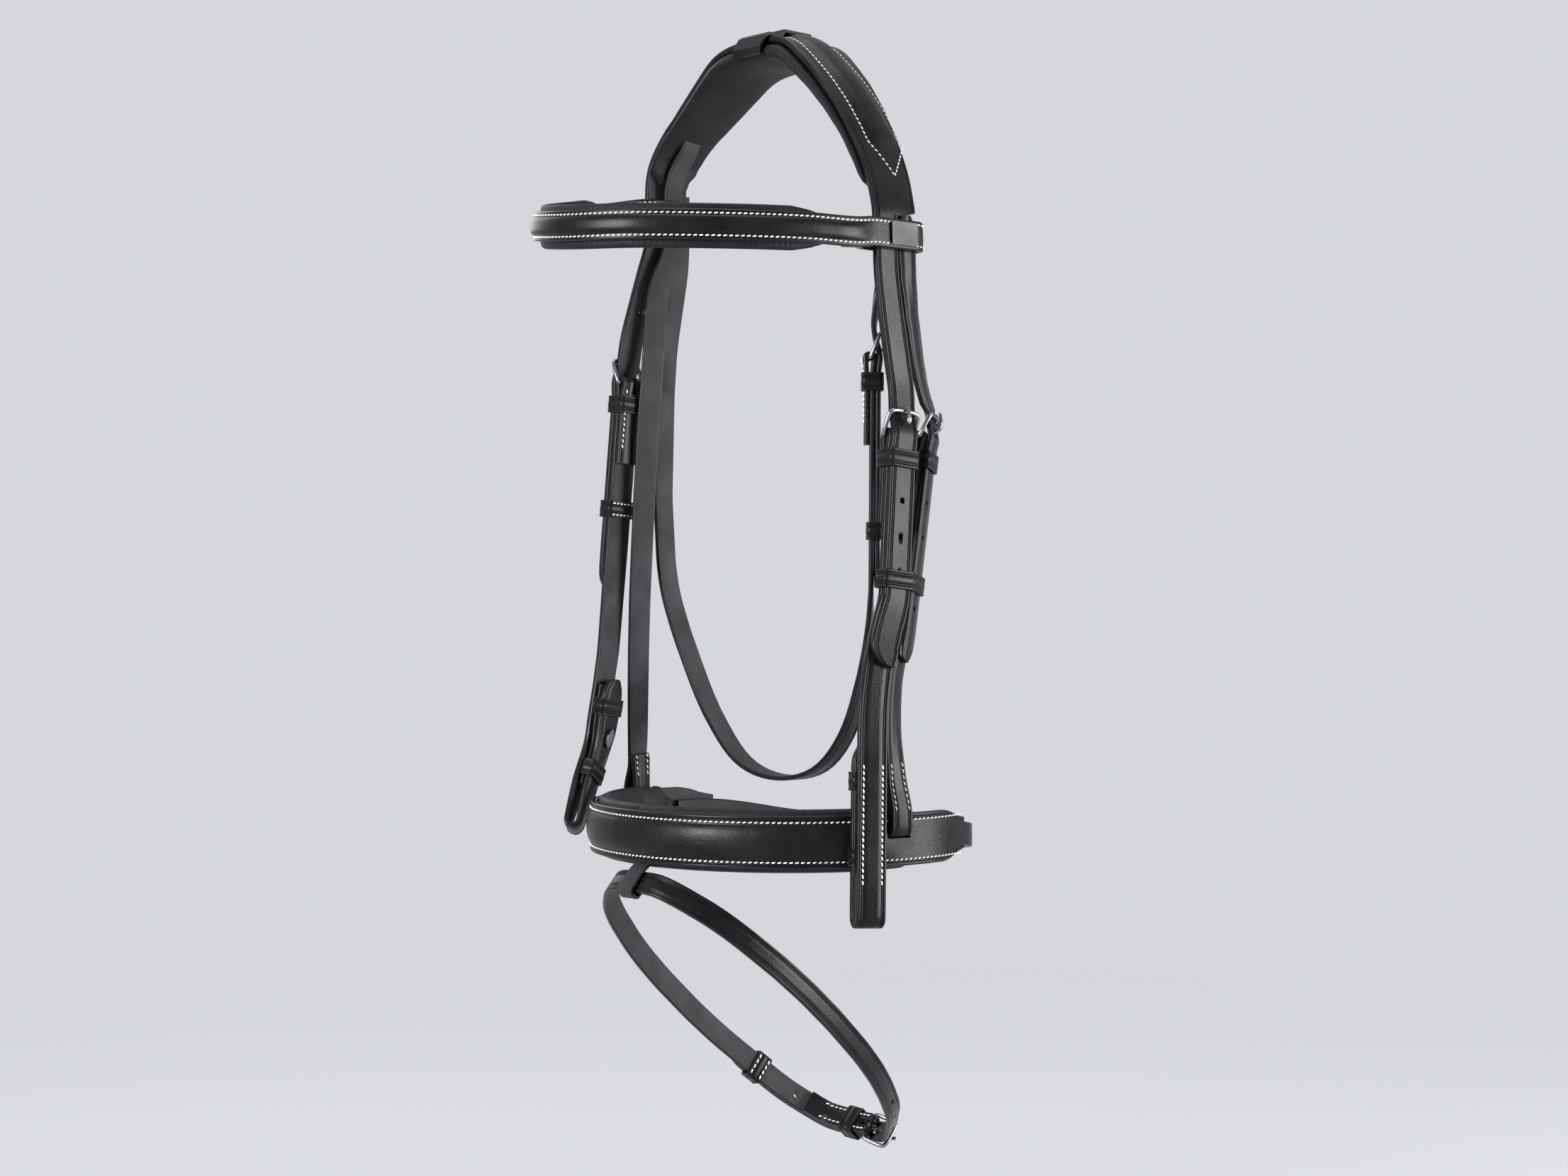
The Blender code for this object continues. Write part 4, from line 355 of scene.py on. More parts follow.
class Walk:
    """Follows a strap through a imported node, section by section.

    It starts at the node's largest face, or at a large one near a hint. With edge, its line keeps at
    one distance from the node's edge on that side. A pad's line runs halfway up its sections.
    """

    def __init__(self, name, width, thickness, near=None, edge=None, pad=False, across=None):
        self.mesh, self.width, self.thickness, self.edge, self.pad = Mesh(name), width, thickness, edge, pad
        self.plain = not pad and name not in SHAPED
        centres = self.mesh.points[self.mesh.faces].mean(axis=1)
        weights = self.mesh.areas
        if near is not None:
            large = self.mesh.areas > width * thickness / 2
            weights = large / (HINT_REACH + np.linalg.norm(centres - near, axis=1))
        seed = int(np.argmax(weights))
        outward = self.mesh.normals[seed]
        origin = centres[seed] - outward * thickness / 2
        if across is None:
            across = self.narrowest(origin, outward, self.mesh.points[self.mesh.faces[seed]])
        heading = np.cross(across, outward)
        for _ in range(SEED_ROUNDS):
            self.seed = self.section(origin, heading, across, outward)
            origin, across, outward = self.seed[:3]
            heading = np.cross(across, outward)
        if self.upside_down():
            across, outward = -across, -outward
            self.seed = self.section(origin, heading, across, outward)
        if edge is not None and across @ edge < 0:
            self.seed = self.section(origin, -heading, -across, outward)

    def narrowest(self, origin, outward, corners):
        """The direction across the strap: the one in which its section is least wide."""
        first = unit(corners[1] - corners[0])
        second = np.cross(outward, first)
        widths = []
        for turn in np.linspace(0.0, math.pi, TURNS_TRIED, endpoint=False):
            across = first * math.cos(turn) + second * math.sin(turn)
            for ends, _, _ in self.mesh.loops(origin, np.cross(across, outward)):
                sides, tall = (ends - origin) @ across, (ends - origin) @ outward
                if sides.min() < TOUCH and sides.max() > -TOUCH and abs(tall.mean()) < self.thickness:
                    widths.append((np.ptp(sides), tuple(across)))
        return vec(min(widths)[1])

    def section(self, origin, heading, across, outward):
        """The strap's section nearest the origin, or None."""
        parts, half = [], self.thickness / 2
        for ends, triangles, lengths in self.mesh.loops(origin, heading):
            sides, tall = (ends - origin) @ across, (ends - origin) @ outward
            aside = max(sides.min(), -sides.max(), 0.0)
            middle = min((tall.min() + tall.max()) / 2, tall.min() + half, tall.max() - half, key=abs)
            if abs(middle) < half * MIDDLE_SHARE and aside < self.width * ASIDE_SHARE:
                parts.append(Part(aside + abs(middle), sides.min(), sides.max(), tall.min(), tall.max(),
                                  triangles, lengths))
        if not parts:
            return None
        parts.sort(key=lambda part: part.away)
        chosen, (_, front, rear, low, high, *_) = [parts[0]], parts[0]
        for part in parts[1:]:
            merged = max(rear, part.rear) - min(front, part.front)
            if abs(part.low + part.high) < self.thickness and merged < self.width + SLACK:
                chosen.append(part)
                front, rear = min(front, part.front), max(rear, part.rear)
        normals = self.mesh.normals[np.concatenate([part.triangles for part in chosen])]
        lengths = np.concatenate([part.lengths for part in chosen])
        outward = self.mean_normal(normals, lengths, outward)
        across = square_to(self.mean_normal(normals, lengths, across), outward)
        side, tall = (front + rear) / 2, low + half
        if self.edge is not None:
            side = rear - CROWN_FRONT if across @ self.edge > 0 else front + CROWN_FRONT
        if self.pad:
            tall = (low + high) / 2
        point = origin + across * side + outward * tall
        return Section(point, across, outward, side - front, rear - side, tall - low, high - tall)

    @staticmethod
    def mean_normal(normals, lengths, toward):
        """The mean of the normals that face a direction or away from it, turned towards it."""
        facing = normals @ toward
        weights = np.where(np.abs(facing) > FACING_SHARE, np.sign(facing) * lengths, 0.0)
        total = weights @ normals
        return unit(total) if np.linalg.norm(total) > 0 else toward

    def upside_down(self):
        """True if the outward direction is the strap's flesh side, or the crowned side of a pad."""
        origin, across, outward = self.seed[:3]
        widths = []
        for ends, _, _ in self.mesh.loops(origin, np.cross(across, outward)):
            sides, tall = (ends - origin) @ across, (ends - origin) @ outward
            if abs(tall).max() < 2 * self.thickness and abs(sides).max() < 2 * self.width:
                for face in (tall < tall.min() + FLAT, tall > tall.max() - FLAT):
                    widths.append(np.ptp(sides[face]))
                break
        return (widths[1] < widths[0]) if self.pad else (widths[1] > widths[0])

    def follow(self, way, step):
        """Sections from the seed to one end."""
        found, (point, across, outward) = [], self.seed[:3]
        while len(found) < MOST_STEPS:
            heading = np.cross(across, outward) * way
            for stride in (step, step / 2, step / 4):
                ahead = self.section(point + heading * stride, heading, across, outward)
                if not self.strays(ahead, across, outward, stride):
                    break
            else:
                round_fold = self.coast(found, point, across, outward, way, step / 2)
                if not round_fold:
                    return found + self.last_bit(point, heading, across, outward, step / 4)
                found += round_fold[:-1]
                ahead = round_fold[-1]
            found.append(ahead)
            point, across, outward = ahead[:3]
        raise RuntimeError("a strap was followed without reaching its end")

    def coast(self, found, point, across, outward, way, step):
        """Sections on round a tight fold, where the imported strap's own can't be told apart."""
        if len(found) < COAST_SECTIONS:
            return []
        before = found[1 - COAST_SECTIONS]
        ran = np.linalg.norm(point - before.point)
        turned = math.atan2(np.cross(before.outward, outward) @ across, before.outward @ outward)
        if abs(turned) < TIGHT_FOLD * ran:
            return []
        angle = math.copysign(step / (ROD / 2 + GAP + self.thickness / 2), turned)
        passed = []
        for _ in range(int(COAST_LENGTH / step)):
            outward = unit(outward * math.cos(angle) + np.cross(across, outward) * math.sin(angle))
            heading = np.cross(across, outward) * way
            point = point + heading * step
            ahead = self.section(point, heading, across, outward)
            if not self.strays(ahead, across, outward, step):
                return passed + [ahead]
            passed.append(Section(point, across, outward, *before[3:]))
        return []

    def last_bit(self, point, heading, across, outward, reach):
        """The section closest to a strap's end, with the directions of the one before."""
        low, high, found = 0.0, reach, []
        while high - low > LEAST_STEP / 2:
            middle = (low + high) / 2
            ahead = self.section(point + heading * middle, heading, across, outward)
            if self.strays(ahead, across, outward, middle):
                high = middle
            else:
                low, found = middle, [Section(point + heading * middle, across, outward, *ahead[3:])]
        return found

    def strays(self, ahead, across, outward, stride):
        """True if there is no next section, or it turns too fast or widens like another part's."""
        if ahead is None:
            return True
        leeway = 1.0 if self.plain else SHAPED_LEEWAY
        across_turn, grain_turn = (math.acos(min(1.0, max(-1.0, new @ old)))
                                   for new, old in ((ahead.across, across), (ahead.outward, outward)))
        if across_turn > leeway * (ACROSS_TURN + ACROSS_TURN_RATE * stride):
            return True
        if grain_turn > leeway * (GRAIN_TURN + GRAIN_TURN_RATE * stride):
            return True
        most = self.thickness * (THICK_SHARE if self.plain else SHAPED_THICK_SHARE)
        wide = self.edge is None and ahead.front + ahead.rear > self.width * WIDE_SHARE
        return wide or ahead.low + ahead.high > most

    def ribbon(self, step=WALK_STEP):
        return Ribbon(self, self.follow(-1.0, step)[::-1] + [self.seed] + self.follow(1.0, step))


class Ribbon:
    """A strap's smooth middle line, with its width and grain directions and how far it reaches."""

    def __init__(self, walk, sections):
        self.walk = walk
        points, across, outward, *reaches = (np.array(column) for column in zip(*sections))
        runs = np.linalg.norm(np.diff(points, axis=0), axis=1)
        self.distances = np.concatenate([[0.0], np.cumsum(runs)])
        kept = np.concatenate([[True], np.diff(self.distances) > WELD])
        self.distances = self.distances[kept]
        self.length = self.distances[-1]
        allowed = self.smoothing(points[kept])
        self.table = np.hstack([self.smooth(column[kept], allowed) for column in (points, across, outward)]
                               + [np.array(reaches).T[kept]])

    @property
    def points(self):
        return self.table[:, :3]

    @property
    def outwards(self):
        return self.table[:, 6:9]

    @property
    def highs(self):
        return self.table[:, 12]

    def smoothing(self, points):
        """How far each place may be smoothed: little in tight folds and near the ends."""
        runs = np.diff(points, axis=0)
        runs /= np.linalg.norm(runs, axis=1)[:, None]
        before = np.searchsorted(self.distances, self.distances - SMOOTH_REACH / 2)
        after = np.searchsorted(self.distances, self.distances + SMOOTH_REACH / 2)
        last = len(runs) - 1
        found = []
        for i, distance in enumerate(self.distances):
            behind, ahead = runs[min(before[i], last)], runs[min(after[i], last)]
            turn = math.acos(max(-1.0, min(1.0, behind @ ahead)))
            most = SMOOTH_REACH if turn < SMOOTH_TURN else SMOOTH_REACH * SMOOTH_TURN / turn
            found.append(min(most, distance, self.length - distance))
        return np.array(found)

    def smooth(self, values, reach):
        """Each value as the mean of its neighbours within its own reach."""
        made = np.empty_like(values)
        for i, distance in enumerate(self.distances):
            weights = np.maximum(1.0 - np.abs(self.distances - distance) / max(reach[i], WELD), 0.0)
            made[i] = weights @ values / weights.sum() if weights.sum() > 0 else values[i]
        return made

    def at(self, distance):
        """The place at a distance from the line's start."""
        row = between(distance, self.distances, self.table)
        across = unit(row[3:6])
        outward = square_to(row[6:9], across)
        return Place(row[:3], np.cross(across, outward), across, outward, *row[9:])

    def nearest_row(self, point):
        return np.argmin(np.linalg.norm(self.points - point, axis=1))

    def nearest(self, point):
        """The distance at which the line is nearest a point."""
        return self.distances[self.nearest_row(point)]

    def turn_grain_from(self, point):
        """Puts the flesh side towards a point."""
        row = self.nearest_row(point)
        if self.outwards[row] @ (point - self.points[row]) > 0:
            self.table[:, 3:9] *= -1
            self.table[:, 9:] = self.table[:, [10, 9, 12, 11]]

    def stops(self, start=0.0, end=None, step=RING_STEP, wanted=()):
        """Distances for a strap's rings: close together where it bends, and all the wanted ones."""
        end = self.length if end is None else end
        found, last = [start], self.at(start)
        for distance in self.distances:
            if not start + RING_GAP < distance < end - RING_GAP:
                continue
            place = self.at(distance)
            turned = (math.acos(min(1.0, place.along @ last.along))
                      + math.acos(min(1.0, place.across @ last.across)))
            if turned > BEND_ANGLE or distance - found[-1] > step:
                found.append(distance)
                last = place
        apart = [stop for stop in found if all(abs(stop - want) > RING_GAP for want in wanted)]
        return sorted({*apart, end, *[want for want in wanted if start < want < end]})


@cache
def ribbon_of(node):
    """A strap's line, its grain side turned away from its buckle's bar."""
    ribbon = Walk(node, *STRAP_SIZES[node]).ribbon()
    for key, strap in BUCKLED.items():
        if strap == node:
            ribbon.turn_grain_from(BuckleSeat(key).centre)
    return ribbon


@cache
def headpiece_line():
    """The headpiece's line inside its front edge, from the near billet's tip to the off one's."""
    return Walk("headpiece", *CHEEK, near=vec(HEADPIECE_HINT), edge=FORWARD).ribbon()


def tip_ends(ribbon):
    """The ends where a strap narrows to a rounded tip; the others are cut square."""
    found = []
    for end, inner in ((0.0, TIP_TEST), (ribbon.length, ribbon.length - TIP_TEST)):
        place = ribbon.at(inner)
        if place.front + place.rear < ribbon.walk.width * TIP_TEST_SHARE:
            found.append(end)
    return found


class Band:
    """The middle, directions and half sizes of a keeper, from its node's flat sides."""

    def __init__(self, name):
        mesh = Mesh(name)
        self.outward = mesh.normals[int(np.argmax(mesh.areas))]
        level = np.where(np.abs(mesh.normals @ self.outward) < LEVEL_SHARE, mesh.areas, 0.0)
        self.across = square_to(mesh.normals[int(np.argmax(level))], self.outward)
        self.along = np.cross(self.across, self.outward)
        axes = (self.along, self.across, self.outward)
        ends = [((mesh.points @ axis).min(), (mesh.points @ axis).max()) for axis in axes]
        self.half = [(high - low) / 2 for low, high in ends]
        self.centre = sum(axis * (low + high) / 2 for axis, (low, high) in zip(axes, ends))


class BuckleSeat:
    """A buckle's bar, and the directions of its strap there."""

    def __init__(self, key):
        joint = JOINTS[key + "_tongue_lift"]
        self.centre, self.across = vec(joint["pos_m"]), unit(vec(joint["axis"]))
        rod = Mesh(key + "_frame").points - self.centre
        level = rod - np.outer(rod @ self.across, self.across)
        self.up = unit(level.mean(axis=0))
        self.length = (level @ self.up).max() - ROD / 2
        self.side = (rod @ self.across).max() - ROD / 2
        keeper = Band(key + "_keeper")
        tongue = Mesh(key + "_tongue").points.mean(axis=0) - self.centre
        outward = keeper.outward * math.copysign(1.0, keeper.outward @ tongue)
        self.outward = square_to(outward, self.across)
        self.along = np.cross(self.across, self.outward)
        self.along *= math.copysign(1.0, self.along @ (keeper.centre - self.centre))


# Making meshes

def mesh_piece(name, points, faces, materials, kinds=None, smooth_angle=None):
    """An object from points and faces, shaded smooth but for sharp edges."""
    data = bpy.data.meshes.new(name)
    data.from_pydata([tuple(point) for point in points], [], faces)
    shell = bmesh.new()
    shell.from_mesh(data)
    bmesh.ops.recalc_face_normals(shell, faces=shell.faces)
    shell.to_mesh(data)
    shell.free()
    for material in materials:
        data.materials.append(material)
    if kinds is not None:
        data.polygons.foreach_set("material_index", kinds)
    data.shade_smooth()
    if smooth_angle:
        data.set_sharp_from_angle(angle=smooth_angle)
    thing = bpy.data.objects.new(name, data)
    bpy.context.scene.collection.objects.link(thing)
    return thing


def loft(name, rings, materials, sides=None, closed=False, cap=GRAIN, smooth_angle=SHARP_ANGLE):
    """A skin over rings of points. Each side of the ring may have its own material number."""
    count, turns = len(rings[0]), len(rings)
    faces, kinds = [], []
    for ring in range(turns if closed else turns - 1):
        low, high = ring * count, (ring + 1) % turns * count
        for i in range(count):
            j = (i + 1) % count
            faces.append((low + i, low + j, high + j, high + i))
            kinds.append(sides[i] if sides else GRAIN)
    if not closed:
        faces += [tuple(range(count))[::-1], tuple(range((turns - 1) * count, turns * count))]
        kinds += [cap, cap]
    return mesh_piece(name, np.concatenate(rings), faces, materials, kinds, smooth_angle)


def ring_of(place, outline):
    """An outline laid across a strap at a place."""
    return np.array([place.point + place.across * side + place.outward * height for side, height in outline])


def circle(radius, sides):
    return [(radius * math.cos(2 * math.pi * i / sides), radius * math.sin(2 * math.pi * i / sides))
            for i in range(sides)]


def rectangle(half_wide, half_high):
    return [(side * half_wide, height * half_high) for side, height in ((-1, -1), (1, -1), (1, 1), (-1, 1))]


def slot_outline(radius, stretch):
    """A circle, or a slot with round ends that is longer by the stretch."""
    found = []
    for i in range(HOLE_SIDES):
        turn = 2 * math.pi * (i + 0.5) / HOLE_SIDES
        away = math.copysign(stretch / 2, math.sin(turn))
        found.append((radius * math.cos(turn), radius * math.sin(turn) + away))
    return found


def prism(name, centre, axes, outline, length):
    """A guide for a cut: an outline across the last two axes, carried along the first one."""
    way, across, up = axes
    rings = [np.array([centre + way * end + across * side + up * height for side, height in outline])
             for end in (-length / 2, length / 2)]
    return loft(name, rings, [], smooth_angle=None)


def channel(name, ribbon, start, end, half_width, half_height):
    """A guide for the way of one strap through another piece."""
    outline = rectangle(half_width, half_height)
    stops = ribbon.stops(max(start, 0.0), min(end, ribbon.length), step=GUIDE_RING_STEP)
    return loft(name, [ring_of(ribbon.at(stop), outline) for stop in stops], [], smooth_angle=None)


def cut(thing, guides):
    """Cuts the guides from a piece and removes them."""
    for guide in guides:
        modifier = thing.modifiers.new(guide.name, "BOOLEAN")
        modifier.operation, modifier.solver, modifier.object = "DIFFERENCE", "EXACT", guide
    bpy.context.view_layer.update()
    graph = bpy.context.evaluated_depsgraph_get()
    made = bpy.data.meshes.new_from_object(thing.evaluated_get(graph))
    thing.modifiers.clear()
    thing.data = made
    for guide in guides:
        bpy.data.objects.remove(guide)
    return thing


def unite(name, things):
    """Several meshes with the same materials in one piece."""
    both = bmesh.new()
    for thing in things:
        both.from_mesh(thing.data)
    both.to_mesh(things[0].data)
    both.free()
    for thing in things[1:]:
        bpy.data.objects.remove(thing)
    things[0].name = name
    return things[0]


def body_of(node):
    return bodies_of(frame["nodes"][node])[0]


def settle(thing, node):
    """The piece rides on its node's body and stands for the node, which is hidden."""
    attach(thing, body_of(node))
    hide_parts(node)
    return thing


def soften(node, material, width):
    """A packed rigid node keeps its shape, with softened edges and its own material."""
    thing = frame["nodes"][node]
    modifier = thing.modifiers.new("soft_edges", "BEVEL")
    modifier.width, modifier.segments, modifier.limit_method = width, SOFT_SEGMENTS, "ANGLE"
    modifier.harden_normals = False
    for place in thing.material_slots:
        place.link = "OBJECT"
        place.material = material


# Shader groups and materials

def add(tree, kind, **settings):
    node = tree.nodes.new(kind)
    for name, value in settings.items():
        setattr(node, name, value)
    return node


def object_places(tree):
    return add(tree, "ShaderNodeTexCoord").outputs["Object"]


def noise(tree, coordinates, scale, detail=3.0, roughness=0.55):
    node = add(tree, "ShaderNodeTexNoise")
    for name, value in (("Scale", scale), ("Detail", detail), ("Roughness", roughness)):
        node.inputs[name].default_value = value
    tree.links.new(coordinates, node.inputs["Vector"])
    return node.outputs["Fac"]


def maths(tree, operation, first, second):
    """A calculation with sockets or plain numbers."""
    node = add(tree, "ShaderNodeMath", operation=operation)
    for place, value in enumerate((first, second)):
        if isinstance(value, (int, float)):
            node.inputs[place].default_value = value
        else:
            tree.links.new(value, node.inputs[place])
    return node.outputs[0]


def spread(tree, value, low, high):
    """The value's place between two numbers, from 0 to 1."""
    node = add(tree, "ShaderNodeMapRange")
    node.inputs["From Min"].default_value, node.inputs["From Max"].default_value = low, high
    tree.links.new(value, node.inputs["Value"])
    return node.outputs["Result"]


def group_tree(name, inputs, outputs):
    """A new shader group with its sockets: inputs are (name, kind, default), outputs (name, kind)."""
    tree = bpy.data.node_groups.new(name, "ShaderNodeTree")
    for label, kind, default in inputs:
        made = tree.interface.new_socket(label, in_out="INPUT", socket_type="NodeSocket" + kind)
        made.default_value = default
    for label, kind in outputs:
        tree.interface.new_socket(label, in_out="OUTPUT", socket_type="NodeSocket" + kind)
    return tree, add(tree, "NodeGroupInput").outputs, add(tree, "NodeGroupOutput").inputs


@cache
def grain_group():
    """Leather grain: pebbles with fine creases between them, and pores."""
    tree, given, result = group_tree(
        "Leather grain", [("Pebble scale", "Float", 700.0), ("Crease share", "Float", 0.5)],
        [("Height", "Float")])
    places = object_places(tree)
    warp = add(tree, "ShaderNodeTexNoise")
    warp.inputs["Scale"].default_value = WARP_SCALE
    tree.links.new(places, warp.inputs["Vector"])
    bent = add(tree, "ShaderNodeVectorMath", operation="MULTIPLY_ADD")
    tree.links.new(warp.outputs["Color"], bent.inputs[0])
    bent.inputs[1].default_value = (WARP_REACH, WARP_REACH, WARP_REACH)
    tree.links.new(places, bent.inputs[2])
    cells = add(tree, "ShaderNodeTexVoronoi", feature="DISTANCE_TO_EDGE")
    tree.links.new(bent.outputs[0], cells.inputs["Vector"])
    tree.links.new(given["Pebble scale"], cells.inputs["Scale"])
    pebbles = spread(tree, cells.outputs["Distance"], 0.0, PEBBLE_BANK)
    height = maths(tree, "MULTIPLY", pebbles, given["Crease share"])
    for scale, detail, share in ((FINE_SCALE, 2.0, FINE_SHARE), (SLOW_SCALE, 4.0, SLOW_SHARE)):
        waves = maths(tree, "MULTIPLY", noise(tree, places, scale, detail), share)
        height = maths(tree, "ADD", height, waves)
    tree.links.new(height, result["Height"])
    return tree


@cache
def wear_group():
    """Where hands and other straps have polished or greyed the surface."""
    tree, given, result = group_tree(
        "Handling wear",
        [("Clean", "Color", (0.01, 0.01, 0.01, 1.0)), ("Worn", "Color", (0.03, 0.03, 0.03, 1.0)),
         ("Clean roughness", "Float", 0.4), ("Worn roughness", "Float", 0.5)],
        [("Color", "Color"), ("Roughness", "Float")])
    places = object_places(tree)
    patches = noise(tree, places, PATCH_SCALE, 5.0, 0.6)
    specks = maths(tree, "MULTIPLY", noise(tree, places, SPECK_SCALE, 2.0), SPECK_SHARE)
    mask = spread(tree, maths(tree, "ADD", patches, specks), WORN_FROM, WORN_TO)
    blend = add(tree, "ShaderNodeMix", data_type="RGBA")
    tree.links.new(mask, blend.inputs["Factor"])
    tree.links.new(given["Clean"], blend.inputs["A"])
    tree.links.new(given["Worn"], blend.inputs["B"])
    tree.links.new(blend.outputs["Result"], result["Color"])
    rough = add(tree, "ShaderNodeMapRange")
    tree.links.new(mask, rough.inputs["Value"])
    tree.links.new(given["Clean roughness"], rough.inputs["To Min"])
    tree.links.new(given["Worn roughness"], rough.inputs["To Max"])
    tree.links.new(rough.outputs["Result"], result["Roughness"])
    return tree


def surface(name, colour, worn, roughness, bump, scale, clean=1.0, grain=None, metallic=0.0, coat=0.0):
    """A material of handling wear over leather grain, or over brushed metal where grain isn't given.

    The colour is multiplied by clean and by worn; roughness is (clean, worn).
    """
    material = bpy.data.materials.new(name)
    material.use_nodes = True
    tree = material.node_tree
    shader = tree.nodes["Principled BSDF"]
    wear = add(tree, "ShaderNodeGroup", node_tree=wear_group())
    for label, share, rough in (("Clean", clean, roughness[0]), ("Worn", worn, roughness[1])):
        wear.inputs[label].default_value = (*(level * share for level in colour[:3]), 1.0)
        wear.inputs[label + " roughness"].default_value = rough
    tree.links.new(wear.outputs["Color"], shader.inputs["Base Color"])
    tree.links.new(wear.outputs["Roughness"], shader.inputs["Roughness"])
    shader.inputs["Metallic"].default_value = metallic
    shader.inputs["Coat Weight"].default_value = coat
    shader.inputs["Coat Roughness"].default_value = COAT_ROUGHNESS
    shader.inputs["Specular IOR Level"].default_value = SPECULAR
    relief = add(tree, "ShaderNodeBump")
    relief.inputs["Strength"].default_value = 1.0
    relief.inputs["Distance"].default_value = bump
    if grain is None:
        tree.links.new(noise(tree, object_places(tree), scale), relief.inputs["Height"])
    else:
        pebbles = add(tree, "ShaderNodeGroup", node_tree=grain_group())
        pebbles.inputs["Pebble scale"].default_value = scale
        pebbles.inputs["Crease share"].default_value = grain
        tree.links.new(pebbles.outputs["Height"], relief.inputs["Height"])
    tree.links.new(relief.outputs["Normal"], shader.inputs["Normal"])
    return material


@cache
def leather_set():
    """Grain, burnished edge and flesh side, in the order of GRAIN, EDGE and FLESH."""
    return [surface("strap_leather_grain", colours().leather, worn=2.2, roughness=(0.27, 0.40),
                    bump=0.00005, scale=620.0, grain=0.55, coat=0.01),
            surface("strap_leather_edge", colours().leather, clean=1.6, worn=3.4, roughness=(0.22, 0.36),
                    bump=0.00003, scale=900.0, grain=0.1, coat=0.04),
            surface("strap_leather_flesh", colours().flesh, worn=0.6, roughness=(0.62, 0.75),
                    bump=0.00006, scale=1200.0, grain=0.15)]


@cache
def padding_leather():
    return surface("pad_leather", colours().padding, worn=2.0, roughness=(0.44, 0.58),
                   bump=0.00009, scale=520.0, grain=0.9)


@cache
def thread_wax():
    return surface("waxed_thread", colours().thread, worn=0.72, roughness=(0.55, 0.7),
                   bump=0.00002, scale=4000.0)


@cache
def steel_polish():
    return surface("stainless_steel", colours().steel, worn=0.82, roughness=(0.18, 0.30),
                   bump=0.000012, scale=1500.0, metallic=1.0)


@cache
def plate_brush():
    return surface("brushed_plate", colours().plate, worn=0.75, roughness=(0.36, 0.46),
                   bump=0.00001, scale=1800.0, metallic=1.0)


# Straps

def strap_side(reach, thickness, creases, rolled):
    """One side of a strap's outline, from flesh to grain: (side, height, kind of the face that follows)."""
    size, half = sizes(), thickness / 2
    share = min(1.0, reach / (CHEEK_WIDTH / 3))
    low = min(size.edge_round, half) * share * FLESH_ROUND_SHARE
    high = min(size.edge_round, half * GRAIN_ROUND_SHARE) * share
    spots = [(low * inset, low * lift - half, EDGE) for inset, lift in FLESH_CORNER_SHARES]
    for inset, drop in GRAIN_CORNER_SHARES:
        spots.append((high * inset, half - high * drop, EDGE if drop else GRAIN))
    width = size.crease_spacing * CREASE_HALF_SHARE
    for number, depth_share in enumerate(CREASE_DEPTH_SHARES):
        middle = size.crease_inset + number * size.crease_spacing
        depth = size.crease_depth * share * depth_share if creases else 0.0
        spots += [((middle - width) * share, half, GRAIN), (middle * share, half - depth, GRAIN),
                  ((middle + width) * share, half, GRAIN)]
    found = [(reach - inset, height, kind) for inset, height, kind in spots]
    flat, count = found[-1][0], ROLLED_POINTS if rolled else FLAT_POINTS
    return found + [(flat * (1.0 - part / count), half, GRAIN) for part in range(1, count)]


def strap_outline(front, rear, thickness, creases=True, rise=None):
    """A strap's outline, with rounded edges, crease lines and, with rise, a raised middle."""
    right, left = (strap_side(reach, thickness, creases, rise) for reach in (rear, front))
    spots = right + [(-side, height, kind) for side, height, kind in left[::-1]]
    kinds = [kind for _, _, kind in right + left[-2::-1]] + [FLESH]
    outline = [(side, height + (rise(side) if rise and height > 0 else 0.0)) for side, height, _ in spots]
    return outline, kinds


def roll(top, half_width, powers, centre=0.0):
    """How high a raised roll stands at each place across a strap."""
    def rise(side):
        share = abs(side - centre) / half_width
        return top * (1.0 - share ** powers[0]) ** powers[1] if share < 1.0 else 0.0
    return rise


def tip_share(distance, ends):
    """The share of the strap's width near its tips, which narrow to a small round end."""
    shares = [np.interp(abs(distance - end) / TIP_LENGTH, TIP_SPOTS, TIP_SHARES) for end in ends]
    return min(shares, default=1.0)


def strap_loft(name, ribbon, section, step=RING_STEP, tips=()):
    """A leather skin along a ribbon, from the outline and face kinds that section gives at each stop."""
    wanted = [end + way * TIP_LENGTH * share for end in tips for way in (-1, 1) for share in TIP_SPOTS]
    wanted = [stop for stop in wanted if 0.0 < stop < ribbon.length]
    rings, kinds = [], None
    for stop in ribbon.stops(step=step, wanted=wanted):
        place = ribbon.at(stop)
        outline, kinds = section(stop, place)
        rings.append(ring_of(place, outline))
    return loft(name, rings, leather_set(), kinds, cap=EDGE)


def leather_strap(name, ribbon, creases=True, real=False):
    """A strap along a ribbon, its tips rounded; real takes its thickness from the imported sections."""
    width, thickness, tips = ribbon.walk.width, ribbon.walk.thickness, tip_ends(ribbon)

    def section(stop, place):
        half = max(width / 2 * tip_share(stop, tips), SLACK / 2)
        deep = place.low + place.high - LEAST_STEP if real else thickness
        outline, kinds = strap_outline(half, half, deep, creases)
        return [(side, height + (deep - thickness) / 2) for side, height in outline], kinds

    return strap_loft(name, ribbon, section, tips=tips)


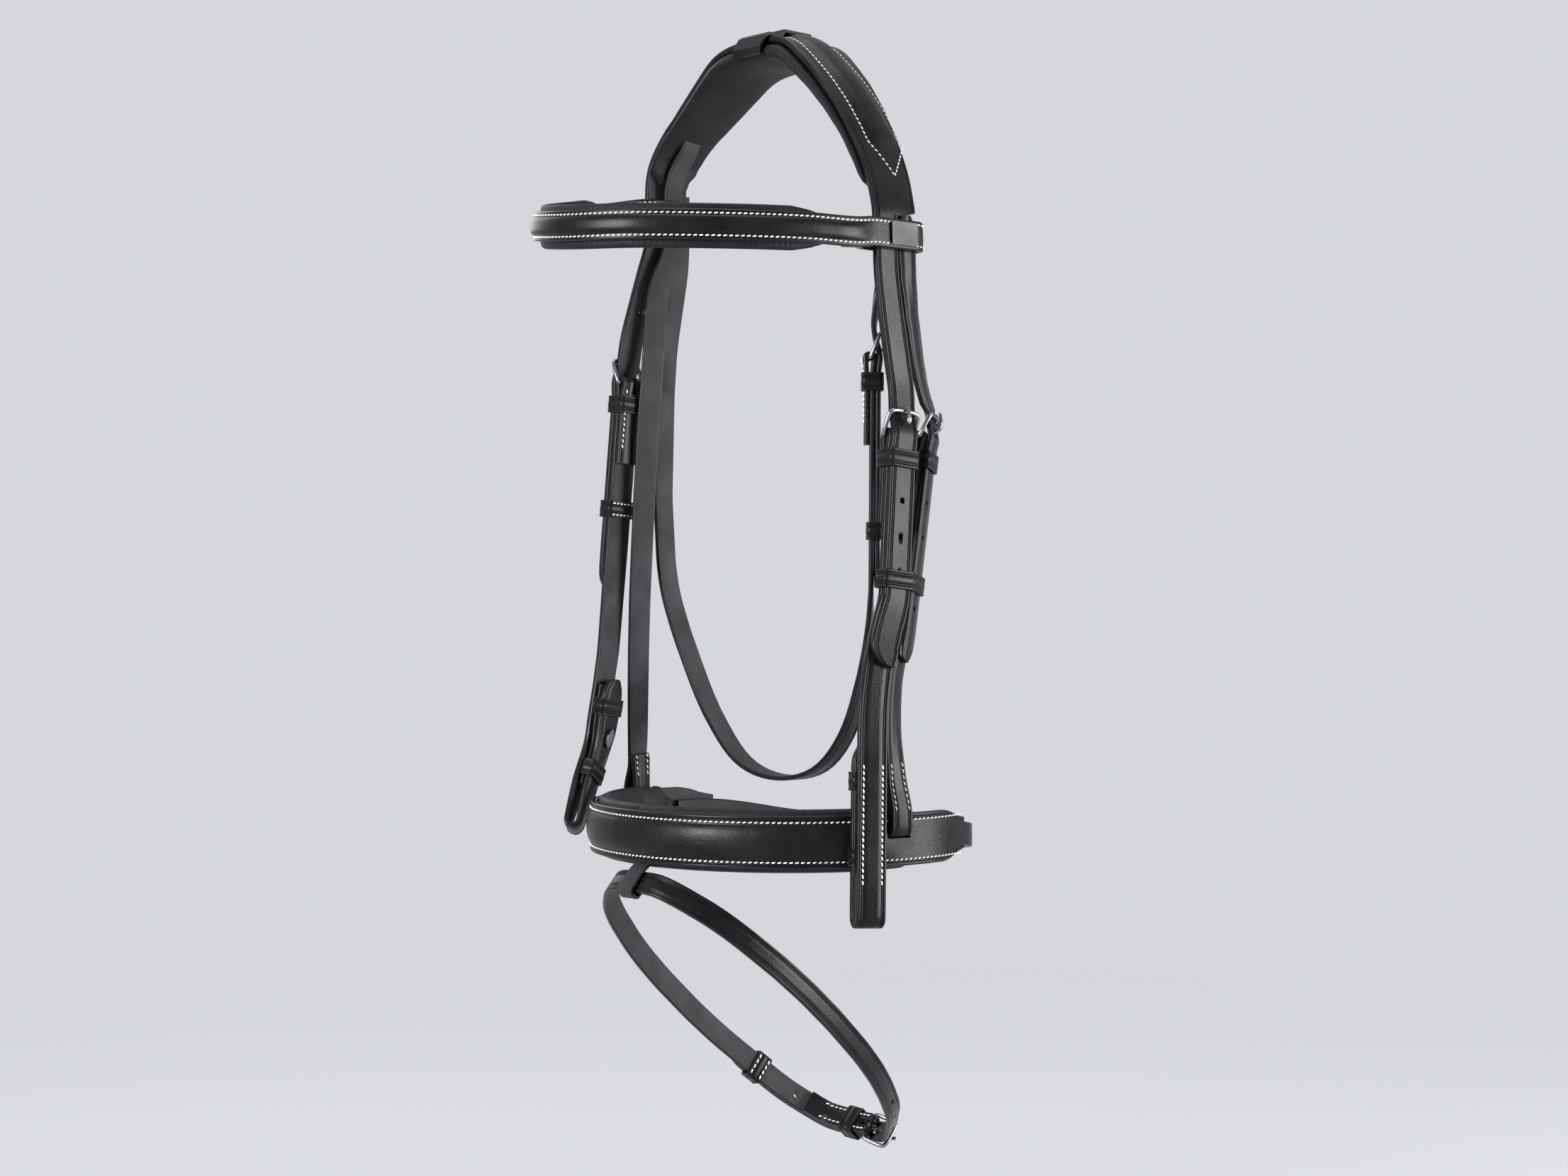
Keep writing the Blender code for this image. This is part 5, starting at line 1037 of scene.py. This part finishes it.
def openings(ribbon):
    """(distance, length, width) of each hole through a strap's middle, from the node's own corners."""
    walk, corners = ribbon.walk, []
    for point in walk.mesh.points:
        distance = ribbon.nearest(point)
        place = ribbon.at(distance)
        offset = point - place.point
        side, height = offset @ place.across, offset @ place.outward
        if abs(side) < HOLE_ASIDE_SHARE * walk.width and abs(height) < HOLE_DEEP_SHARE * walk.thickness:
            corners.append((distance + offset @ place.along, side))
    groups = []
    for corner in sorted(corners):
        if groups and corner[0] - groups[-1][-1][0] < HOLE_MOST:
            groups[-1].append(corner)
        else:
            groups.append([corner])
    holes = []
    for group in groups:
        low, high = group[0][0], group[-1][0]
        wide = np.ptp([side for _, side in group])
        inside = HOLE_FROM_TIP < low and high < ribbon.length - HOLE_FROM_TIP
        if inside and HOLE_LEAST < high - low < HOLE_MOST and HOLE_LEAST < wide < HOLE_MOST:
            holes.append(((low + high) / 2, high - low, wide))
    return holes


def punch(thing, ribbon, inside=None):
    """Cuts round holes and the tongue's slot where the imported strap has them."""
    guides = []
    for number, (distance, length, wide) in enumerate(openings(ribbon)):
        if inside and not inside(distance):
            continue
        place = ribbon.at(distance)
        axes = place.outward, place.across, np.cross(place.outward, place.across)
        outline = slot_outline(min(length, wide) / 2 * HOLE_ROUNDING_SHARE, max(length - wide, 0.0))
        depth = ribbon.walk.thickness * CUTTER_SHARE
        guides.append(prism(f"{thing.name}_hole_{number}", place.point, axes, outline, depth))
    return cut(thing, guides) if guides else thing


def make_strap(node):
    """A strap with its holes and its buckle's slot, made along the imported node's own line."""
    ribbon = ribbon_of(node)
    thing = leather_strap(node + "_strap", ribbon, creases=node not in UNCREASED)
    for key, strap in BUCKLED.items():
        if strap == node:
            seat = BuckleSeat(key)
            reach = 2 * (ROD + 2 * ribbon.walk.thickness)
            length = reach / 2 + CHAPE_SLOT
            middle = seat.centre + seat.along * (CHAPE_SLOT - length / 2)
            axes = seat.along, seat.across, seat.outward
            outline = rectangle(CHAPE_SLOT_WIDTH / 2, reach / 2)
            cut(thing, [prism(key + "_slot", middle, axes, outline, length)])
    return settle(punch(thing, ribbon), node)


def make_headpiece():
    """The crown with its ridge and front billets, and the near rear billet."""
    ribbon = headpiece_line()
    ends = tip_ends(ribbon)

    def section(stop, place):
        minus, plus = max(place.front, SLACK), max(place.rear, SLACK)
        share = tip_share(stop, ends)
        if share < 1.0:
            minus = plus = max(CROWN_FRONT * share, SLACK / 2)
        top = max(place.high - CHEEK_THICKNESS / 2, 0.0) if minus > WHOLE_CROWN else 0.0
        rise = roll(top, RIDGE_HALF, FULL_ROLL, RIDGE_CENTRE)
        return strap_outline(minus, plus, CHEEK_THICKNESS, rise=rise)

    front = strap_loft("headpiece_front", ribbon, section, CROWN_RING_STEP, ends)
    punch(front, ribbon, inside=lambda distance: ribbon.at(distance).front < CHEEK_WIDTH)
    hint = vec(JOINTS["noseband_tongue_lift"]["pos_m"])
    billet = Walk("headpiece", SLIM_WIDTH, CHEEK_THICKNESS, near=hint, across=FORWARD).ribbon()
    rear = punch(leather_strap("headpiece_rear", billet, real=True), billet)
    settle(unite("headpiece_leather", [front, rear]), "headpiece")


def make_browband():
    """A band with a raised roll along its middle, its ends turned back into loops."""
    def section(_, place):
        half, top = BROWBAND_HEIGHT / 2, max(place.high - BROWBAND_THICKNESS / 2, 0.0)
        rise = roll(top, BROWBAND_ROLL_HALF, FULL_ROLL)
        return strap_outline(half, half, BROWBAND_THICKNESS, creases=False, rise=rise)

    thing = strap_loft("browband_band", ribbon_of("browband_leather"), section, BAND_RING_STEP)
    settle(thing, "browband_leather")


def hanger_way(ribbon, nose):
    """The distances at which a hanger runs through the noseband's leather, and behind it."""
    through, behind = [], []
    for distance in ribbon.distances:
        point = ribbon.at(distance).point
        place = nose.at(nose.nearest(point))
        offset = point - place.point
        height = offset @ place.outward
        if abs(offset @ place.across) < NOSEBAND_HEIGHT / 2 and np.linalg.norm(offset) < NOSEBAND_HEIGHT:
            if abs(height) < IN_LEATHER:
                through.append(distance)
            elif height < 0:
                behind.append(distance)
    return through, behind


def make_noseband():
    """The wide band with slots for its hangers, and the pad behind it with room for them."""
    nose = ribbon_of("noseband_leather")

    def section(stop, place):
        away = min(stop, nose.length - stop) - NOSEBAND_ROLL_FROM
        share = max(0.0, min(1.0, away / NOSEBAND_ROLL_FADE))
        top = NOSEBAND_ROLL_RISE * share * share * (3.0 - 2.0 * share)
        rise = roll(top, NOSEBAND_ROLL_HALF, FLAT_ROLL)
        return strap_outline(place.front, place.rear, NOSEBAND_THICKNESS, rise=rise)

    leather = strap_loft("noseband_band", nose, section, BAND_RING_STEP)
    pad = make_pad("noseband_padding", "noseband_pad", *NOSEBAND_PAD)
    for hanger in ("near_hanger", "poll_strap"):
        ribbon = ribbon_of(hanger)
        through, behind = hanger_way(ribbon, nose)
        if through:
            half_sizes = (size / 2 + room for size, room in zip(SLIM, SLOT_ROOM))
            cut(leather, [channel(hanger + "_slot", ribbon, min(through), max(through), *half_sizes)])
        if behind:
            start, end = min(behind + through) - POCKET_BEFORE, max(behind + through) + POCKET_AFTER
            half_sizes = (size / 2 + room for size, room in zip(SLIM, POCKET_ROOM))
            cut(pad, [channel(hanger + "_pocket", ribbon, start, end, *half_sizes)])
    settle(leather, "noseband_leather")
    settle(pad, "noseband_padding")


# Pads

def pad_outline(minus, plus, low, high, draw):
    """A pad's outline: nearly flat towards its leather, crowned towards the horse."""
    found = []
    for cosine, sine in circle(1.0, PAD_SIDES):
        side = math.copysign(abs(cosine) ** PAD_SIDE_POWER, cosine)
        if sine > 0:
            height = high * abs(sine) ** PAD_TOP_POWER - draw * abs(sine)
            side *= PAD_TOP_SHARE
        else:
            height = -low * abs(sine) ** PAD_UNDER_POWER
        found.append(((plus if side > 0 else minus) * side, height))
    return found


def make_pad(node, piece, width, thickness):
    """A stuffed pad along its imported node, drawn in by its stitches."""
    ribbon = Walk(node, width, thickness, pad=True).ribbon(step=PAD_STEP)
    pitch, rings = sizes().stitch_pitch, []
    count = max(int(ribbon.length / (pitch / PAD_RINGS_A_STITCH)), PAD_LEAST_RINGS)
    for i in range(count + 1):
        stop = ribbon.length * i / count
        place = ribbon.at(stop)
        away = min(min(stop, ribbon.length - stop) / PAD_END, 1.0)
        rounded = math.sqrt(max(1.0 - (1.0 - away) ** 2, PAD_END_LEAST))
        draw = sizes().pad_pucker * (0.5 - 0.5 * math.cos(2 * math.pi * stop / pitch)) * rounded
        swell = math.sin(stop * PAD_WAVES[0]) * math.sin(stop * PAD_WAVES[1] + PAD_WAVE_SHIFT)
        wave = 1.0 - PAD_WAVE_SHARE * (0.5 + 0.5 * swell)
        minus, plus, low, high = (max(reach, SLACK) for reach in place[4:])
        side = PAD_END_SIDE_SHARE + (1.0 - PAD_END_SIDE_SHARE) * rounded
        outline = pad_outline(minus * side, plus * side, low * rounded * wave, high * rounded, draw)
        rings.append(ring_of(place, outline))
    thing = loft(piece, rings, [padding_leather()], smooth_angle=None)
    return thing


# Keepers, runners and buckles

def rounded_path(half_wide, half_high, radius, turns):
    """Points and outward directions round a rectangle with rounded corners."""
    found = []
    for quarter, (way_x, way_y) in enumerate(((1, 1), (-1, 1), (-1, -1), (1, -1))):
        for i in range(turns + 1):
            turn = math.pi / 2 * (quarter + i / turns)
            x, y = math.cos(turn), math.sin(turn)
            wide, high = way_x * (half_wide - radius), way_y * (half_high - radius)
            found.append((wide + radius * x, high + radius * y, x, y))
    return found


def band_outline(half_length, half_wall):
    """A keeper's section with rounded edges and two pressed lines near each edge."""
    corner = min(BAND_EDGE, half_wall * BAND_EDGE_SHARE)
    edges = [(x, y) for x, y, _, _ in rounded_path(half_length, half_wall, corner, BAND_EDGE_SIDES)]
    top = edges[:BAND_EDGE_SIDES + 1]
    for inset in BAND_LINES:
        for step, depth in ((-BAND_LINE_HALF, 0.0), (0.0, sizes().crease_depth), (BAND_LINE_HALF, 0.0)):
            top.append((half_length - inset - step, half_wall - depth))
    return top + [(-x, y) for x, y in top[::-1]] + edges[2 * (BAND_EDGE_SIDES + 1):]


def make_band(node, wall=BAND_WALL):
    """A leather keeper or runner as a smooth closed band."""
    band = Band(node)
    half_length, half_wide, half_high = band.half
    outline = band_outline(half_length, wall / 2)
    corner = min(BAND_CORNER, half_high - wall / 2 - SLACK / 2)
    path = rounded_path(half_wide - wall / 2, half_high - wall / 2, corner, BAND_CORNER_SIDES)
    rings = []
    for x, y, out_x, out_y in path:
        middle = band.centre + band.across * x + band.outward * y
        way = band.across * out_x + band.outward * out_y
        rings.append(np.array([middle + band.along * run + way * lift for run, lift in outline]))
    settle(loft(node + "_band", rings, leather_set(), closed=True), node)


def smooth_closed(points, rounds=3):
    """Cuts the corners of a closed line until it is a curve."""
    for _ in range(rounds):
        after = np.roll(points, -1, axis=0)
        points = np.stack([points * 0.75 + after * 0.25, points * 0.25 + after * 0.75], axis=1).reshape(-1, 3)
    return points


def make_frame(key):
    """A buckle's frame: one round rod with soft corners and a slightly bowed top."""
    seat = BuckleSeat(key)
    flat = np.cross(seat.across, seat.up)
    shoulder = seat.length - FRAME_BOW
    half = [(seat.side - FRAME_CORNER, 0.0), (seat.side, FRAME_CORNER), (seat.side, shoulder - FRAME_CORNER),
            (seat.side - FRAME_CORNER, shoulder), (seat.side / 2, seat.length)]
    path = half + [(-wide, high) for wide, high in half[::-1]]
    corners = np.array([seat.centre + seat.across * wide + seat.up * high for wide, high in path])
    points, rings = smooth_closed(corners), []
    for i, point in enumerate(points):
        radial = np.cross(unit(points[(i + 1) % len(points)] - points[i - 1]), flat)
        rings.append(np.array([point + radial * x + flat * y for x, y in circle(ROD / 2, FRAME_SIDES)]))
    thing = loft(key + "_buckle_frame", rings, [steel_polish()], closed=True, smooth_angle=None)
    settle(thing, key + "_frame")


def make_tongue(key):
    """A buckle's tongue: a rounded bar hooked round the frame's bar, thinner towards its point."""
    ribbon = Walk(key + "_tongue", TONGUE_WIDTH, TONGUE_THICKNESS).ribbon(step=TONGUE_STEP)
    bar = vec(JOINTS[key + "_tongue_lift"]["pos_m"])
    tip = max((ribbon.length, 0.0), key=lambda end: np.linalg.norm(ribbon.at(end).point - bar))
    rings = []
    for stop in ribbon.stops(step=TONGUE_RING_STEP):
        share = TONGUE_POINT_SHARE + (1.0 - TONGUE_POINT_SHARE) * min(abs(stop - tip) / TONGUE_TAPER, 1.0)
        away = min(min(stop, ribbon.length - stop) / TONGUE_ROUND, 1.0)
        share *= math.sqrt(max(1.0 - (1.0 - away) ** 2, TONGUE_ROUND_LEAST))
        wide, high = TONGUE_WIDTH / 2 * share, TONGUE_THICKNESS / 2 * share
        outline = [(wide * math.copysign(abs(x) ** TONGUE_SQUARENESS, x),
                    high * math.copysign(abs(y) ** TONGUE_SQUARENESS, y))
                   for x, y in circle(1.0, TONGUE_SIDES)]
        rings.append(ring_of(ribbon.at(stop), outline))
    thing = loft(key + "_buckle_tongue", rings, [steel_polish()], smooth_angle=None)
    settle(thing, key + "_tongue")


# Stitching

def row_line(ribbon, marks, height):
    """Points, and the directions out of the leather, along a row through its (distance, side) marks."""
    spots = []
    for (first, side), (last, other) in zip(marks, marks[1:]):
        count = max(int(abs(last - first) / ROW_STEP), int(abs(other - side) / ROW_STEP), 2)
        for share in np.linspace(0.0, 1.0, count):
            place = ribbon.at(first + (last - first) * share)
            shift = place.across * (side + (other - side) * share) + place.outward * height
            spots.append((place.point + shift, place.outward))
    return (np.array(column) for column in zip(*spots))


def one_stitch(centre, ahead, normal, pitch, first):
    """A slanting length of thread, sunk at its ends; its points are numbered from first."""
    width = sizes().thread_width
    sideways = np.cross(normal, ahead)
    ahead = ahead * math.cos(THREAD_SLANT) + sideways * math.sin(THREAD_SLANT)
    sideways = np.cross(normal, ahead)
    points, faces = [], []
    for along, share, lift in THREAD_RINGS:
        middle = centre + ahead * along * pitch * THREAD_SHARE / 2 + normal * lift * width
        for x, y in circle(width / 2 * share, THREAD_SIDES):
            points.append(middle + sideways * x + normal * y * THREAD_FLAT_SHARE)
    end = first + len(points)
    for low in range(first, end - THREAD_SIDES, THREAD_SIDES):
        for i in range(THREAD_SIDES):
            j = (i + 1) % THREAD_SIDES
            faces.append((low + i, low + j, low + THREAD_SIDES + j, low + THREAD_SIDES + i))
    faces += [tuple(range(first, first + THREAD_SIDES))[::-1], tuple(range(end - THREAD_SIDES, end))]
    return points, faces


def stitch(name, rows, body):
    """Rows of thread: each is (ribbon, [(distance, side), ...], height)."""
    points, faces = [], []
    for row in rows:
        line, normals = row_line(*row)
        run = np.concatenate([[0.0], np.cumsum(np.linalg.norm(np.diff(line, axis=0), axis=1))])
        total = max(round(run[-1] / sizes().stitch_pitch), 1)
        pitch = run[-1] / total
        for number in range(total):
            middle = pitch * (number + 0.5)
            start, centre, end = (between(stop, run, line)
                                  for stop in (middle - pitch / 3, middle, middle + pitch / 3))
            normal = unit(between(middle, run, normals))
            made = one_stitch(centre, unit(end - start), normal, pitch, len(points))
            points += made[0]
            faces += made[1]
    thing = mesh_piece(name, points, faces, [thread_wax()])
    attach(thing, body)


def both_sides(ribbon, start, end, inset):
    """A row along each edge of a strap's grain side."""
    side = ribbon.walk.width / 2 - inset
    return [(ribbon, [(start, way * side), (end, way * side)], ribbon.walk.thickness / 2) for way in (-1, 1)]


def hanging_rows(node, lowest, highest, toward, inset):
    """Two rows between two heights, on the layer of a strap whose grain side faces a direction."""
    ribbon = ribbon_of(node)
    facing = ribbon.outwards @ toward > ROW_FACING_SHARE
    found = ribbon.distances[facing & (ribbon.points[:, 2] > lowest) & (ribbon.points[:, 2] < highest)]
    return both_sides(ribbon, found.min(), found.max(), inset)


def crown_rows():
    """The crown's two rows, which meet in a point at each side."""
    (near_tip, near_end), (off_tip, off_end) = V_TIPS
    near_bend, off_bend = (tip + (end - tip) * V_BEND_SHARE for tip, end in V_TIPS)
    rows = []
    for side in (V_FRONT, V_REAR):
        bend = V_SIDE + (side - V_SIDE) * V_BEND_SHARE
        marks = [(near_tip, V_SIDE), (near_bend, bend), (near_end, side),
                 (off_end, side), (off_bend, bend), (off_tip, V_SIDE)]
        rows.append((headpiece_line(), marks, CHEEK_THICKNESS / 2))
    return rows


def chape_rows(key, reach=CHAPE_ROW_END):
    """The rows that close a strap round its buckle's bar, on both of its layers."""
    ribbon = ribbon_of(BUCKLED[key])
    bar = ribbon.nearest(BuckleSeat(key).centre)
    rows = []
    for way in (-1, 1):
        start, end = (min(max(bar + way * away, CHAPE_ROW_MARGIN), ribbon.length - CHAPE_ROW_MARGIN)
                      for away in (CHAPE_ROW_START, reach))
        if abs(end - start) > CHAPE_ROW_LEAST:
            rows += both_sides(ribbon, start, end, CHAPE_ROW_INSET)
    return rows


class Straight:
    """A straight line that rows of thread can follow."""

    def __init__(self, start, along, outward):
        self.start, self.along, self.outward = start, along, outward

    def at(self, distance):
        across = np.cross(self.along, self.outward)
        return Place(self.start + self.along * distance, self.along, across, self.outward, 0.0, 0.0, 0.0, 0.0)


def runner_rows(key):
    """The two short rows that close a runner at its back."""
    band = Band(key + "_runner")
    back = band.outward * -math.copysign(1.0, band.outward @ BuckleSeat(key).outward)
    line = Straight(band.centre + back * band.half[2], band.across, back)
    far, side = band.half[1] - RUNNER_ROW_INSET, band.half[0] - RUNNER_ROW_INSET
    return [(line, [(-far, row), (far, row)], 0.0) for row in (-side, side)]


def make_stitching():
    """The thread of the bridle, browband, noseband, flash and two runners, one piece on each body."""
    rows = crown_rows()
    for key in ("near_cheek", "off_cheek", "noseband", "throat"):
        rows += chape_rows(key)
    for place in HANGING_ROWS:
        rows += hanging_rows(*place)
    stitch("strap_stitching", rows, "bridle")
    brow, nose = ribbon_of("browband_leather"), ribbon_of("noseband_leather")
    raised = brow.distances[brow.highs > BROWBAND_THICKNESS / 2 + BROWBAND_ROW_RISE]
    inset = BROWBAND_HEIGHT / 2 - BROWBAND_ROW_FROM_MIDDLE
    stitch("browband_stitching", both_sides(brow, raised.min(), raised.max(), inset), "browband")
    rows = both_sides(nose, NOSEBAND_ROW_END, nose.length - NOSEBAND_ROW_END, NOSEBAND_ROW_INSET)
    stitch("noseband_stitching", rows + chape_rows("crank", CRANK_ROW_END), "noseband")
    stitch("flash_stitching", chape_rows("flash"), "flash")
    for key in ("off_cheek", "flash"):
        stitch(key + "_runner_stitching", runner_rows(key), key + "_runner")


# Stage

def sight():
    """The directions towards the camera and to its right."""
    side = Vector((math.sin(CAMERA_AZIMUTH), -math.cos(CAMERA_AZIMUTH), 0.0))
    right = Vector((math.cos(CAMERA_AZIMUTH), math.sin(CAMERA_AZIMUTH), 0.0))
    return side, right


def place_and_aim(name, data, place, direction):
    """An object at a place, looking in a direction."""
    thing = bpy.data.objects.new(name, data)
    thing.location = place
    thing.rotation_euler = direction.to_track_quat("-Z", "Y").to_euler()
    bpy.context.scene.collection.objects.link(thing)
    return thing


def add_camera():
    side, _ = sight()
    data = bpy.data.cameras.new("view")
    data.sensor_width = SENSOR_WIDTH
    data.lens = SENSOR_WIDTH * CAMERA_DISTANCE / (PHOTO_WIDTH * METRES_PER_PIXEL)
    place = side * CAMERA_DISTANCE + Vector((0.0, 0.0, CAMERA_HEIGHT))
    bpy.context.scene.camera = place_and_aim("view", data, place, -side)


def add_lamps():
    side, right = sight()
    middle, up = Vector((0.0, 0.0, CAMERA_HEIGHT)), Vector((0.0, 0.0, 1.0))
    for name, toward, aside, above, size, power in LAMPS:
        data = bpy.data.lights.new(name, "AREA")
        data.shape, data.size, data.energy = "SQUARE", size, power
        place = middle + side * toward + right * aside + up * above
        place_and_aim(name, data, place, middle - place)


def add_world(colour):
    """Soft even light; the eye, mirrors and glass see the plain backdrop colour instead."""
    world = bpy.data.worlds.new("studio")
    bpy.context.scene.world = world
    world.use_nodes = True
    tree = world.node_tree
    light = tree.nodes["Background"]
    light.inputs["Color"].default_value = (1.0, 1.0, 1.0, 1.0)
    light.inputs["Strength"].default_value = WORLD_STRENGTH
    paths = add(tree, "ShaderNodeLightPath")
    seen = maths(tree, "MAXIMUM", paths.outputs["Is Camera Ray"], paths.outputs["Is Glossy Ray"])
    seen = maths(tree, "MAXIMUM", seen, paths.outputs["Is Transmission Ray"])
    plain = add(tree, "ShaderNodeBackground")
    plain.inputs["Color"].default_value = colour
    mixed = mix_shaders(tree, seen, light.outputs[0], plain.outputs[0])
    tree.links.new(mixed, tree.nodes["World Output"].inputs["Surface"])


def mix_shaders(tree, share, first, second):
    mix = add(tree, "ShaderNodeMixShader")
    for place, source in enumerate((share, first, second)):
        tree.links.new(source, mix.inputs[place])
    return mix.outputs[0]


def floor_material(colour):
    """A pale floor that fades into the backdrop."""
    material = bpy.data.materials.new("pale_floor")
    material.use_nodes = True
    tree = material.node_tree
    shader = tree.nodes["Principled BSDF"]
    shader.inputs["Base Color"].default_value = colour
    shader.inputs["Roughness"].default_value = FLOOR_ROUGHNESS
    shader.inputs["Specular IOR Level"].default_value = FLOOR_SPECULAR
    reach = add(tree, "ShaderNodeVectorMath", operation="LENGTH")
    tree.links.new(object_places(tree), reach.inputs[0])
    gone = spread(tree, reach.outputs["Value"], FLOOR_CLEAR, FLOOR_GONE)
    plain = add(tree, "ShaderNodeEmission")
    plain.inputs["Color"].default_value = colour
    seen = maths(tree, "MULTIPLY", add(tree, "ShaderNodeLightPath").outputs["Is Camera Ray"], FLOOR_PLAIN)
    shown = mix_shaders(tree, seen, shader.outputs[0], plain.outputs[0])
    clear = add(tree, "ShaderNodeBsdfTransparent")
    mixed = mix_shaders(tree, gone, shown, clear.outputs[0])
    tree.links.new(mixed, tree.nodes["Material Output"].inputs["Surface"])
    return material


def add_stage():
    """A pale floor under the object, and a plain pale backdrop all round."""
    bpy.context.scene.view_settings.view_transform = "Standard"
    colour = tuple(colours().backdrop)
    add_world(colour)
    points = [(x, y, FLOOR_HEIGHT) for x, y in circle(FLOOR_RADIUS, FLOOR_SIDES)]
    floor = mesh_piece("floor", points, [tuple(range(FLOOR_SIDES))], [floor_material(colour)])


# Operators

class BRIDLE_OT_stage(bpy.types.Operator):
    """Camera, floor, backdrop and soft lamps"""
    bl_idname, bl_label = "bridle.stage", "Stage"

    def execute(self, context):
        add_camera()
        add_stage()
        add_lamps()
        return {"FINISHED"}


class BRIDLE_OT_headpiece(bpy.types.Operator):
    """The headpiece with its split ends, the strap through its channel and the lining under it"""
    bl_idname, bl_label = "bridle.headpiece", "Headpiece"

    def execute(self, context):
        make_headpiece()
        make_strap("poll_strap")
        settle(make_pad("crown_lining", "crown_pad", *CROWN_PAD), "crown_lining")
        soften("poll_keeper", leather_set()[GRAIN], POLL_KEEPER_SOFTNESS)
        return {"FINISHED"}


class BRIDLE_OT_cheekpieces(bpy.types.Operator):
    """Both cheekpieces with their bit ends, the noseband's near hanger and the throatlatch"""
    bl_idname, bl_label = "bridle.cheekpieces", "Cheekpieces and throatlatch"

    def execute(self, context):
        for side in ("near", "off"):
            make_strap(side + "_cheekpiece")
            make_strap(side + "_cheek_bit_backing")
            for end in ("upper", "lower"):
                make_band(f"{side}_cheek_bit_keeper_{end}", BIT_BAND_WALL)
            soften(side + "_cheek_hook_stud", steel_polish(), STUD_SOFTNESS)
        make_strap("near_hanger")
        make_strap("throatlatch")
        return {"FINISHED"}


class BRIDLE_OT_browband(bpy.types.Operator):
    """The browband's leather with its raised roll, its pad and its plain plate"""
    bl_idname, bl_label = "bridle.browband", "Browband"

    def execute(self, context):
        make_browband()
        settle(make_pad("browband_padding", "browband_pad", *BROWBAND_PAD), "browband_padding")
        soften("browband_plate", plate_brush(), PLATE_SOFTNESS)
        return {"FINISHED"}


class BRIDLE_OT_noseband(bpy.types.Operator):
    """The noseband's leather and pad, with the crank's straps and the tab for the flash"""
    bl_idname, bl_label = "bridle.noseband", "Noseband"

    def execute(self, context):
        make_noseband()
        for node in ("crank_billet", "crank_strap", "flash_tab"):
            make_strap(node)
        return {"FINISHED"}


class BRIDLE_OT_flash(bpy.types.Operator):
    """The flash strap"""
    bl_idname, bl_label = "bridle.flash", "Flash strap"

    def execute(self, context):
        make_strap("flash_strap")
        return {"FINISHED"}


class BRIDLE_OT_buckles(bpy.types.Operator):
    """The frames and tongues of the six buckles, and their keepers and runners"""
    bl_idname, bl_label = "bridle.buckles", "Buckles and keepers"

    def execute(self, context):
        for key in BUCKLED:
            make_frame(key)
            make_tongue(key)
            make_band(key + "_keeper")
            make_band(key + "_runner")
        return {"FINISHED"}


class BRIDLE_OT_stitching(bpy.types.Operator):
    """Rows of waxed thread along the crown, browband, noseband and every doubled end"""
    bl_idname, bl_label = "bridle.stitching", "Stitching"

    def execute(self, context):
        make_stitching()
        return {"FINISHED"}


MAKERS = (BRIDLE_OT_stage, BRIDLE_OT_headpiece, BRIDLE_OT_cheekpieces, BRIDLE_OT_browband,
          BRIDLE_OT_noseband, BRIDLE_OT_flash, BRIDLE_OT_buckles, BRIDLE_OT_stitching)


class BRIDLE_PT_panel(bpy.types.Panel):
    """Sizes, colours and makers of the bridle"""
    bl_label, bl_idname = "Bridle", "BRIDLE_PT_panel"
    bl_space_type, bl_region_type, bl_category = "VIEW_3D", "UI", "Bridle"

    def draw(self, context):
        for name in ("bridle_sizes", "bridle_colours"):
            group = getattr(context.scene, name)
            for place in group.bl_rna.properties:
                if not place.is_readonly and place.identifier != "name":
                    self.layout.prop(group, place.identifier)
        for maker in MAKERS:
            self.layout.operator(maker.bl_idname)


CLASSES = (BridleSizes, BridleColours) + MAKERS + (BRIDLE_PT_panel,)


def register():
    for part in CLASSES:
        bpy.utils.register_class(part)
    bpy.types.Scene.bridle_sizes = PointerProperty(type=BridleSizes)
    bpy.types.Scene.bridle_colours = PointerProperty(type=BridleColours)


def unregister():
    del bpy.types.Scene.bridle_colours, bpy.types.Scene.bridle_sizes
    for part in reversed(CLASSES):
        bpy.utils.unregister_class(part)


def main():
    register()
    for maker in MAKERS:
        area, name = maker.bl_idname.split(".")
        getattr(getattr(bpy.ops, area), name)()


if __name__ == "__main__":
    main()
